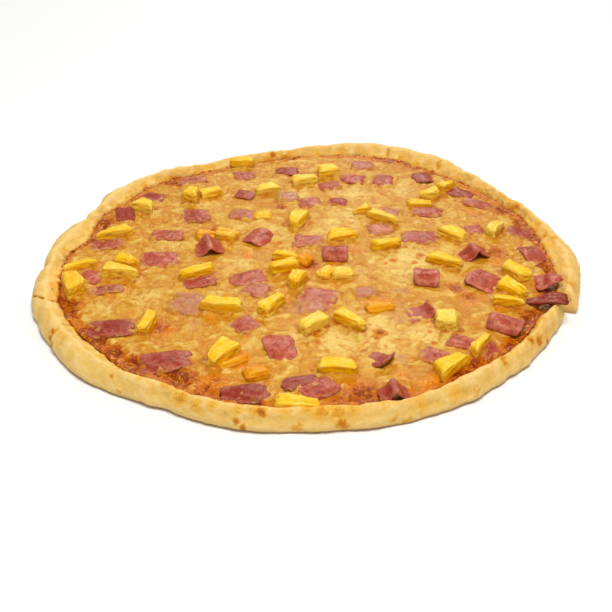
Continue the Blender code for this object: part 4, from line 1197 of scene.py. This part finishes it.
def remeshed(mesh, voxel):
    """Points and faces of a closed mesh, rebuilt as an even fine one."""
    helper = bpy.data.objects.new("remesh helper", mesh)
    bpy.context.scene.collection.objects.link(helper)
    modifier = helper.modifiers.new("even faces", "REMESH")
    modifier.mode = "VOXEL"
    modifier.voxel_size = voxel
    bpy.context.view_layer.update()
    graph = bpy.context.evaluated_depsgraph_get()
    fine = bpy.data.meshes.new_from_object(helper.evaluated_get(graph))
    points = np.empty(len(fine.vertices) * 3, np.float32)
    fine.vertices.foreach_get("co", points)
    faces = [tuple(face.vertices) for face in fine.polygons]
    bpy.data.objects.remove(helper)
    bpy.data.meshes.remove(fine)
    return points.reshape(-1, 3).astype(float), faces


def merged_copy(node):
    """A copy of a solid's mesh with its doubled corners merged; the solid itself stays as it is."""
    mesh = node.data.copy()
    shape = bmesh.new()
    shape.from_mesh(mesh)
    bmesh.ops.remove_doubles(shape, verts=shape.verts, dist=0.01 * MM)
    shape.to_mesh(mesh)
    shape.free()
    return mesh


def chunk_field(points, middle, turn):
    """Grain coordinates: along the fibres, across them and up."""
    angle = math.radians(turn)
    along = (points[:, 0] - middle[0]) * math.cos(angle) + (points[:, 1] - middle[1]) * math.sin(angle)
    across = -(points[:, 0] - middle[0]) * math.sin(angle) + (points[:, 1] - middle[1]) * math.cos(angle)
    return np.stack([along, across, points[:, 2]], axis=1)


def bent_chunk(points, own, half, turn, top, rng):
    """Bows a chunk, narrows one end, slants its cuts, lets its ends droop and tilts its top."""
    share = own[:, 0] / half[0]
    above = np.clip((points[:, 2] - CHEESE_LEVEL) / (top - CHEESE_LEVEL), 0, 1)
    bow = rng.uniform(-1.1, 1.1) * (share ** 2 - 0.4) * MM
    droop = -rng.uniform(0.0, 1.3) * np.abs(share) ** 3 * above * MM
    tilt = -rng.uniform(0.0, 1.2) * (1 + rng.choice((-1, 1)) * own[:, 1] / half[1]) / 2 * above * MM
    end = 1 + rng.choice((-1, 1)) * share
    bow = bow - 0.5 * rng.uniform(0.0, 0.42) * end * own[:, 1]
    slant = rng.uniform(-0.45, 0.45) * share * own[:, 1]
    angle = math.radians(turn)
    across = np.array([-math.sin(angle), math.cos(angle), 0.0])
    along = np.array([math.cos(angle), math.sin(angle), 0.0])
    up = np.array([0.0, 0.0, 1.0])
    return points + bow[:, None] * across + slant[:, None] * along + (droop + tilt)[:, None] * up


print("voxel, mm:", round(CHUNK_VOXEL / MM, 2))

# %% [markdown]
# No two tidbits ripen alike: some are nearly white, some deep yellow, and some lie in sauce. The ones that
# the view shows clearly get their own values, and the others draw theirs from a seed.
# %% Dress the chunks
# How pale and how stained with sauce some chunks are, by number
PALE_CHUNKS = {
    3: 0.8, 4: 1.0, 7: 0.7, 12: 0.6, 27: 0.9, 36: 1.0, 2: 0.5, 9: 0.3, 35: 0.5, 41: 0.6, 39: 0.3, 30: 0.0,
    25: 0.7, 8: 0.4, 5: 0.4, 22: 0.1, 31: 0.2,
}
STAINED_CHUNKS = {
    1: 0.35, 10: 0.5, 11: 0.4, 14: 0.6, 16: 0.3, 19: 0.3, 42: 0.5, 33: 0.4, 18: 0.4, 24: 0.2, 40: 0.3,
}
chunk_parts = []
for place, (name, (middle, half, turn, top)) in enumerate(sorted(CHUNKS.items()), start=1):
    points, faces = remeshed(merged_copy(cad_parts[name]), CHUNK_VOXEL)
    points = points - HUB
    own = chunk_field(points, middle, turn)
    rng = random.Random(600 + place)
    points = bent_chunk(points, own, half, turn, top, rng)
    chunk_parts.append((points, faces, {
        "grain": own + np.array([rng.uniform(-1, 1) for _ in range(3)]),
        "end": np.abs(own[:, 0]) / half[0],
        # foot and upper feed painted shade at the chunk's foot and painted light on its top
        "foot": 1 - smooth_step(CHEESE_LEVEL - 1 * MM, CHEESE_LEVEL + 4 * MM, points[:, 2]),
        "upper": smooth_step(top - 3.0 * MM, top - 0.2 * MM, points[:, 2]),
        "pale": np.full(len(points), PALE_CHUNKS.get(place, rng.uniform(0.1, 0.45))),
        "stained": np.full(len(points), STAINED_CHUNKS.get(place, rng.uniform(0.0, 0.2))),
    }))
print("chunks:", len(chunk_parts), "points:", sum(len(part[0]) for part in chunk_parts))

# %% [markdown]
# The few chunks that the cheese ran over have no solid of their own, as they are one with the cheese's.
# Here each is a rounded lump from the same rule as the solid's, so that its fruit shows through the film of
# cheese.
# %% Coated chunks
# Pixel, size in mm, turn, taper, how stained and how pale
COATED = (
    ((206, 231), (14, 10, 6), 10, 0.2, 0.7, 0.0), ((263, 212), (13, 12, 5), 0, 0.2, 0.1, 0.4),
    ((303, 255), (12, 11, 6), -40, 0.1, 0.9, 0.0), ((326, 268), (13, 10, 7), 60, 0.2, 0.2, 0.5),
    ((343, 269), (14, 10, 7), 0, 0.1, 0.0, 0.7), ((256, 369), (14, 11, 6), 20, 0.2, 0.9, 0.1),
    ((380, 303), (18, 11, 6), 15, 0.3, 0.8, 0.0), ((234, 358), (20, 7, 5), 32, 0.1, 0.9, 0.0),
)
CHUNK_BED = CHEESE_BOTTOM + 1.0 * MM


def coated_corners(size, turn, taper, seed):
    """The solid's own eight uneven corners of a cut chunk."""
    rng = random.Random(seed)
    length, width, high = (value * MM for value in size)
    corners = []
    for along in (-0.5, 0.5):
        narrow = 1 - taper * (along + 0.5)
        for across in (-0.5, 0.5):
            for up in (-0.5, 0.5):
                lean = 0.90 if up > 0 else 1.0
                corners.append(Vector((
                    along * length * lean * rng.uniform(0.92, 1.05),
                    across * width * narrow * lean * rng.uniform(0.88, 1.08),
                    up * high * (1 - 0.35 * taper * (along + 0.5)) * rng.uniform(0.90, 1.05),
                )))
    spin = Matrix.Rotation(math.radians(turn), 3, "Z")
    return [spin @ corner for corner in corners]


for place, (pixel, size, turn, taper, stained, pale) in enumerate(COATED, start=1):
    top = CHUNK_BED + size[2] * MM
    middle = plan(pixel, top) - np.array([0, 0, size[2] * MM / 2])
    shape = bmesh.new()
    for corner in coated_corners(size, turn, taper, 300 + place):
        shape.verts.new(Vector(middle) + corner)
    bmesh.ops.convex_hull(shape, input=shape.verts)
    bmesh.ops.bevel(shape, geom=shape.edges, offset=1.2 * MM, segments=2, affect="EDGES")
    bmesh.ops.recalc_face_normals(shape, faces=shape.faces)
    mesh = bpy.data.meshes.new("coated chunk")
    shape.to_mesh(mesh)
    shape.free()
    points, faces = remeshed(mesh, CHUNK_VOXEL)
    own = chunk_field(points, middle, turn)
    none = np.zeros(len(points))
    chunk_parts.append((points, faces, {
        "grain": own + place,
        "end": np.abs(own[:, 0]) / (size[0] * MM / 2),
        "foot": none,
        "upper": none,
        "pale": none + pale,
        "stained": none + stained,
    }))
print("with coated ones:", len(chunk_parts))

# %% [markdown]
# All chunks are one piece, as they are one kind of thing. Noise wears the cut corners before the fibres are
# combed in.
# %% Join and comb the chunks


def joined(parts):
    """One array of points, faces and fields from several parts."""
    offsets = np.cumsum([0] + [len(points) for points, _, _ in parts])
    points = np.concatenate([part[0] for part in parts])
    faces = [tuple(corner + offset for corner in face)
             for (_, part_faces, _), offset in zip(parts, offsets.tolist()) for face in part_faces]
    fields = {label: np.concatenate([part[2][label] for part in parts]) for label in parts[0][2]}
    return points, faces, fields


pineapple_flesh = coated_finish(
    "pineapple_flesh", "#F2B404",
    (
        # Painted light: lighter tops
        ("#F2C20E", "upper", 2.0, 1.0, 0.2, 0.9, 0.8),
        ("#D89602", None, 1.4, 1.2, 0.04, 0.24, 0.70),
        ("#F2CE52", "pale", 2.0, 1.2, 0.20, 0.85, 0.85),
        ("#F8DC6C", None, 0.9, 1.2, 0.08, 0.28, 0.55),
        ("#F4D460", "ridge", 1.2, 0.3, 0.54, 0.78, 0.45),
        # Painted shade in hollows
        ("#CC8402", "hollow", 1.2, 0.5, 0.25, 0.95, 0.70),
        ("#DA9A04", "ridge_low", 1.2, 0.4, 0.52, 0.76, 0.70),
        # Painted highlight on ridges
        ("#F8DC70", "ridge_highlight", 1.0, 0.9, 0.45, 1.20, 0.50),
        # Painted shade: darker orange at the foot
        ("#D08004", "foot", 2.0, 1.0, 0.55, 1.15, 0.70),
        ("#DC8206", "stained", 2.4, 1.7, 0.40, 1.05, 0.85),
        ("#A4520A", "stained", 1.3, 1.7, 0.98, 1.36, 0.80),
    ),
    roughness=0.28, bumps=((0.6, 0.30),), soft=0.35, soft_reach=(1.0, 0.7, 0.15), shine=0.22,
    gleam=WARM_GLEAM, stretch=(0.12, 1.0, 1.0))
points, faces, fields = joined(chunk_parts)
worn = 0.52 * noise_at(fields["grain"], 6.0 * MM, 1.0) + 0.30 * noise_at(fields["grain"], 2.4 * MM, 2.0)
fields["relief"] = 0.6 + 0.9 * fields["end"]
pineapple = new_piece("pineapple_chunks", points, faces, fields)
normals = normals_of(pineapple)
points = points + normals * (worn * MM)[:, None]
move_points(pineapple, points)
run_tree(pineapple, RELIEF,
         {"Grain size": 1.1 * MM, "Stretch": (0.09, 1, 1), "Depth": 0.80 * MM, "Finish": pineapple_flesh})
mark_bulges(pineapple, 6, 0.36 * MM)
ridge = np.empty(len(pineapple.data.vertices), np.float32)
pineapple.data.attributes["ridge"].data.foreach_get("value", ridge)
store(pineapple, {"ridge_low": 1 - ridge})
keep_below(pineapple, CAD_BOX[1].z)
pineapple.data.shade_smooth()
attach(pineapple, "root")
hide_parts(*sorted(CHUNKS))
print("pineapple triangles:", sum(len(face.vertices) - 2 for face in pineapple.data.polygons))

# %% [markdown]
# Ham is a thin plate bent along its length. The same bends as the solids' are drawn with far more points,
# the cut edges are made irregular, and wrinkles and lifted corners come from noise.
# %% Shape of a slice
SLICE_STEPS = 22
# Of the two slices on the rim, one ends in a tip and the other widens outwards
TAPERED = {114: -1.0, 115: 0.8}


def bent_run(profile):
    """Evenly spaced places along a bend: shares of the length, and heights."""
    bend = np.array(spline_rows([np.array(stop) for stop in profile], [12] * (len(profile) - 1)))
    run = np.linspace(0, len(bend) - 1, SLICE_STEPS + 1)
    along = np.interp(run, np.arange(len(bend)), bend[:, 0])
    up = np.interp(run, np.arange(len(bend)), bend[:, 1]) * MM
    return (np.repeat(row, SLICE_STEPS + 1) for row in (along, up))


def thick_sheet(sheet, edge):
    """Points and faces of a plate round a square sheet of points, thinner at its edge."""
    side = SLICE_STEPS + 1
    grid = sheet.reshape(side, side, 3)
    normal = np.cross(np.gradient(grid, axis=0), np.gradient(grid, axis=1)).reshape(-1, 3)
    normal /= np.linalg.norm(normal, axis=1)[:, None]
    half = 0.5 * SLICE_THICKNESS * (1 - 0.55 * edge ** 8)
    points = np.concatenate([sheet + normal * half[:, None], sheet - normal * half[:, None]])
    index = np.arange(side * side).reshape(side, side)
    quads = grid_quads(index)
    border = np.concatenate([index[:, 0], index[-1, 1:], index[-2::-1, -1], index[0, -2:0:-1]])
    walls = [(a + side * side, b + side * side, b, a) for a, b in
             zip(border.tolist(), np.roll(border, -1).tolist())]
    faces = quads.tolist() + (quads[:, ::-1] + side * side).tolist() + walls
    return points, [tuple(face) for face in faces]


def slice_mesh(pixel, size, turn, profile, base, seed, clear_of_rim):
    """Points, faces and fields of one slice, with the same bend and uneven sides as its solid."""
    rng = random.Random(seed)
    length, width = (value * MM for value in size)
    skews = [rng.uniform(-SLICE_UNEVEN, SLICE_UNEVEN) for _ in range(3)]
    scales = [1 + rng.uniform(-SLICE_UNEVEN, SLICE_UNEVEN) for _ in range(3)]
    lean = rng.uniform(-SLICE_UNEVEN, SLICE_UNEVEN)
    lift = max(up for _, up in profile) * MM
    middle = plan(pixel, base(None, None) + lift)
    along, up = bent_run(profile)
    share = np.linspace(-1, 1, SLICE_STEPS + 1)
    s, t = (axis.ravel() for axis in np.meshgrid(share, share, indexing="ij"))
    skew = np.interp(t, (-1, 0, 1), skews)
    torn = np.stack([s, t, np.full(len(s), 0.37 * seed)], axis=1)
    wild = 1.7 if clear_of_rim else 1.0
    ragged = 1 + wild * (0.10 * noise_at(torn, 0.55) + 0.05 * noise_at(torn, 0.2))
    corner = 1 - 0.13 * wild * (s * s * t * t) ** 1.5
    x = along * length * (1 + 0.5 * skew) * ragged * corner
    y = 0.5 * t * width * ragged * corner
    lean = TAPERED.get(seed, lean)
    x, y = x + y * skew, y * (1 + lean * x / length)
    angle = math.radians(turn)
    px = middle[0] + x * math.cos(angle) - y * math.sin(angle)
    py = middle[1] + x * math.sin(angle) + y * math.cos(angle)
    if clear_of_rim:
        reach = inner_radius(np.degrees(np.arctan2(py, px)) % 360) - RIM_CLEARANCE
        pull = np.minimum(1, reach / np.hypot(px, py))
        px, py = px * pull, py * pull
    edge = np.maximum(np.abs(s), np.abs(t))
    wrinkle = 0.30 * noise_at(torn, 0.5, 3.0) + 0.14 * noise_at(torn, 0.22, 4.0)
    curl = 0.55 * edge ** 6 * noise_at(torn, 0.7, 5.0)
    middle_height = base(px, py) + up * np.interp(t, (-1, 0, 1), scales) + (wrinkle + curl) * MM
    if clear_of_rim:
        middle_height = middle_height - SUNK_EDGE * edge ** 5
    points, faces = thick_sheet(np.stack([px, py, middle_height], axis=1), edge)
    own = np.concatenate([torn, torn]) * np.array([length / 2, width / 2, 1.0])
    return points, faces, {"edge": np.concatenate([edge, edge]), "grain": own}


def over_cheese(offset, edge_aware):
    def height(x, y):
        if x is None:
            return CHEESE_LEVEL + offset
        surface = cheese_surface(x, y)
        if edge_aware:
            turns = np.degrees(np.arctan2(y, x)) % 360.0
            share = np.clip((cheese_radius(turns) - np.hypot(x, y)) / CHEESE_EDGE_SPAN, 0, 1)
            low = CHEESE_BOTTOM + 1.1 * MM
            surface = low + (surface - low) * np.sqrt(share * (2 - share))
        return surface + offset
    return height


def on_level(level):
    def height(x, y):
        return level if x is None else np.full(len(x), level)
    return height


print("steps a side:", SLICE_STEPS)

# %% [markdown]
# Slices on the cheese follow its height, and the two on the rim start from a level. Each slice also carries
# numbers for its finish: how dry it is, how crisp its edge, and how far a film of cheese has crept over it.
# %% Ham slices
ham_parts = []
for place, (pixel, size, turn, profile, veil, dry) in enumerate(PROUD_HAM, start=1):
    base = on_level(CHEESE_LEVEL + 0.4 * MM) if profile is CLIMB else over_cheese(-SLICE_BED, False)
    ham_parts.append((slice_mesh(pixel, size, turn, profile, base, 100 + place, False), veil, dry, 0.0))
for place, (pixel, size, turn, veil, dry) in enumerate(FLAT_HAM, start=1):
    base = over_cheese(FLAT_PROUD, True)
    ham_parts.append((slice_mesh(pixel, size, turn, FLAT, base, 200 + place, True), veil, dry, 1.0))
for (points, faces, fields), veil, dry, flat in ham_parts:
    fields["dry"] = np.full(len(points), dry)
    fields["veil"] = np.full(len(points), veil)
    fields["relief"] = np.ones(len(points))
    fields["crisp"] = fields["edge"] * np.clip(0.45 + 0.6 * fields["dry"], 0, 1.1)
    patchy = np.clip(0.55 + 1.1 * noise_at(points, 5 * MM, 71.0), 0, 1.2)
    fields["film"] = flat * fields["edge"] ** 3 * patchy + 0.6 * veil
    fields["core"] = np.clip(1.25 - 1.4 * fields["edge"], 0, 1) * (0.35 + 0.65 * dry)
print("slices:", len(ham_parts))

# %% [markdown]
# Cooked ham is wet, pink and slightly mottled. Its thin cut edges dry to a dark red, and a film of melted
# cheese makes some slices mauve.
# %% Ham finish
cooked_ham = coated_finish(
    "cooked_ham", "#AE4832",
    (
        ("#D67E66", None, 5.0, 1.0, 0.00, 0.16, 0.75),
        ("#8A2618", None, 3.6, 1.0, 0.02, 0.16, 0.85),
        ("#E2A088", None, 1.6, 1.0, 0.10, 0.24, 0.55),
        ("#84241A", "dry", 5.0, 1.0, 0.40, 1.20, 0.85),
        ("#8E2A24", "core", 4.5, 1.6, 0.42, 0.80, 0.60),
        ("#C08A66", "veil", 4.0, 1.0, 0.10, 0.60, 0.75),
        ("#B25812", None, 8.0, 1.0, 0.10, 0.28, 0.60),
        # Painted shade in hollows and a painted highlight on ridges
        ("#7A2418", "hollow", 1.5, 0.6, 0.30, 1.00, 0.65),
        ("#D4907A", "ridge_highlight", 1.2, 1.4, 0.60, 1.40, 0.50),
        ("#C48A40", "film", 2.4, 1.4, 0.35, 0.90, 0.90),
        ("#64160C", "crisp", 2.0, 0.5, 0.80, 1.05, 0.85),
        ("#862404", "dry", 3.0, 0.9, 1.10, 1.50, 0.95),
        ("#360C02", "dry", 2.0, 1.6, 1.55, 1.90, 0.80),
    ),
    roughness=0.30, bumps=((0.9, 0.22), (3.0, 0.45)), soft=0.12, soft_reach=(1.0, 0.35, 0.25), shine=0.24,
    gleam=WARM_GLEAM)
points, faces, fields = joined([part for part, *_ in ham_parts])
ham = new_piece("ham_slices", points, faces, fields)
run_tree(ham, RELIEF,
         {"Grain size": 2.2 * MM, "Stretch": (1, 0.5, 1), "Depth": 0.14 * MM, "Finish": cooked_ham})
mark_bulges(ham, 5, 0.22 * MM)
ham.data.shade_smooth()
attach(ham, "root")
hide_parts(*[f"ham_{place:02d}" for place in range(1, len(PROUD_HAM) + 1)])
print("ham triangles:", sum(len(face.vertices) - 2 for face in ham.data.polygons))

# %% [markdown]
# Flecks of dried herb and pepper lie in the sauce and on the cheese. They repeat, so Geometry Nodes scatter
# them: points on the cheese where it is thin, a small flattened grain on each, turned and sized at random.
# %% Herb flecks
FLECK_SIZE = 0.55 * MM


def fleck_tree():
    sizes = (("Density", "Float"), ("Fleck size", "Float"), ("Seed", "Int"))
    tree, given = open_tree("scattered flecks", sizes)
    thin_share = add_node(tree, "GeometryNodeInputNamedAttribute", {"data_type": "FLOAT"}, {"Name": "thin"})
    room = add_node(tree, "ShaderNodeMath", {"operation": "MULTIPLY_ADD"},
                    {0: thin_share.outputs[0], 1: 2.0, 2: 0.12})
    density = add_node(tree, "ShaderNodeMath", {"operation": "MULTIPLY"},
                       {0: room.outputs[0], 1: given["Density"]})
    spots = add_node(tree, "GeometryNodeDistributePointsOnFaces", None,
                     {"Mesh": given["Geometry"], "Density": density.outputs[0], "Seed": given["Seed"]})
    ball = add_node(tree, "GeometryNodeMeshIcoSphere", None,
                    {"Radius": given["Fleck size"], "Subdivisions": 1})
    sizes = add_node(tree, "FunctionNodeRandomValue", {"data_type": "FLOAT_VECTOR"},
                     {0: (0.5, 0.4, 0.25), 1: (1.3, 1.0, 0.5), "Seed": given["Seed"]})
    placed = add_node(tree, "GeometryNodeInstanceOnPoints", None,
                      {"Points": spots.outputs["Points"], "Instance": ball.outputs["Mesh"],
                       "Rotation": spots.outputs["Rotation"], "Scale": sizes.outputs[0]})
    turn = add_node(tree, "FunctionNodeRandomValue", {"data_type": "FLOAT"},
                    {2: 0.0, 3: 6.28, "Seed": given["Seed"]})
    spin = add_node(tree, "ShaderNodeCombineXYZ", None, {"Z": turn.outputs[1]})
    turned = add_node(tree, "GeometryNodeRotateInstances", None,
                      {"Instances": placed.outputs[0], "Rotation": spin.outputs[0]})
    return close_tree(tree, turned.outputs[0], given["Finish"])


dried_herb = coated_finish("dried_herb_and_pepper", "#3A2410",
                           (("#5A4A18", None, 2.0, 1.0, 0.0, 0.3, 0.7),), roughness=0.7)
flecks = bpy.data.objects.new("herb_flecks", cheese.data.copy())
bpy.context.scene.collection.objects.link(flecks)
run_tree(flecks, fleck_tree(), {"Density": 2600.0, "Fleck size": FLECK_SIZE, "Seed": 4, "Finish": dried_herb})
flecks.data.shade_smooth()
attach(flecks, "root")
print("fleck faces:", len(flecks.data.polygons))

# %% [markdown]
# The set is plain: a pale floor, a white room and one broad soft light from above and in front. The camera
# stands where the reference view was taken, with a lens that matches its field of view.
# %% Floor, light and camera
FLOOR_HALF = 3.0
FLOOR_DROP = 0.05 * MM
signs = ((-1, -1), (1, -1), (1, 1), (-1, 1))
corners = [(across * FLOOR_HALF, away * FLOOR_HALF, 0) for across, away in signs]
stage_mesh = bpy.data.meshes.new("pale_floor")
stage_mesh.from_pydata(corners, [], [(0, 1, 2, 3)])
floor = bpy.data.objects.new("pale_floor", stage_mesh)
floor.location.z = -FLOOR_DROP
floor.data.materials.append(coated_finish("matt_white_paint", "#F4F4F2", (), roughness=0.9))
bpy.context.scene.collection.objects.link(floor)


def soft_light(name, place, aim, size, power):
    lamp = bpy.data.lights.new(name, "AREA")
    lamp.shape = "DISK"
    lamp.size = size
    lamp.energy = power
    holder = bpy.data.objects.new(name, lamp)
    holder.location = place
    holder.rotation_euler = (Vector(aim) - Vector(place)).to_track_quat("-Z", "Y").to_euler()
    bpy.context.scene.collection.objects.link(holder)
    return holder


soft_light("key", (0.10, -0.42, 1.35), (0, 0, 0), 0.7, 16.5)
soft_light("back", (0.1, 1.2, 0.85), (0, 0, 0), 0.22, 5.5)
world = bpy.data.worlds.new("white room")
world.use_nodes = True
world.node_tree.nodes["Background"].inputs["Color"].default_value = (1, 1, 1, 1)
world.node_tree.nodes["Background"].inputs["Strength"].default_value = 0.36
scene = bpy.context.scene
scene.world = world
scene.view_settings.view_transform = "Standard"

SENSOR_MM = 36.0
lens = bpy.data.cameras.new("camera")
lens.sensor_width = SENSOR_MM
lens.lens = SENSOR_MM * VIEW_FOCAL / (2 * VIEW_MIDDLE)
camera = bpy.data.objects.new("camera", lens)
camera.location = Vector(EYE + HUB)
camera.rotation_euler = (math.pi / 2 - VIEW_TILT, 0, 0)
scene.collection.objects.link(camera)
scene.camera = camera
print("lens, mm:", round(lens.lens, 1))
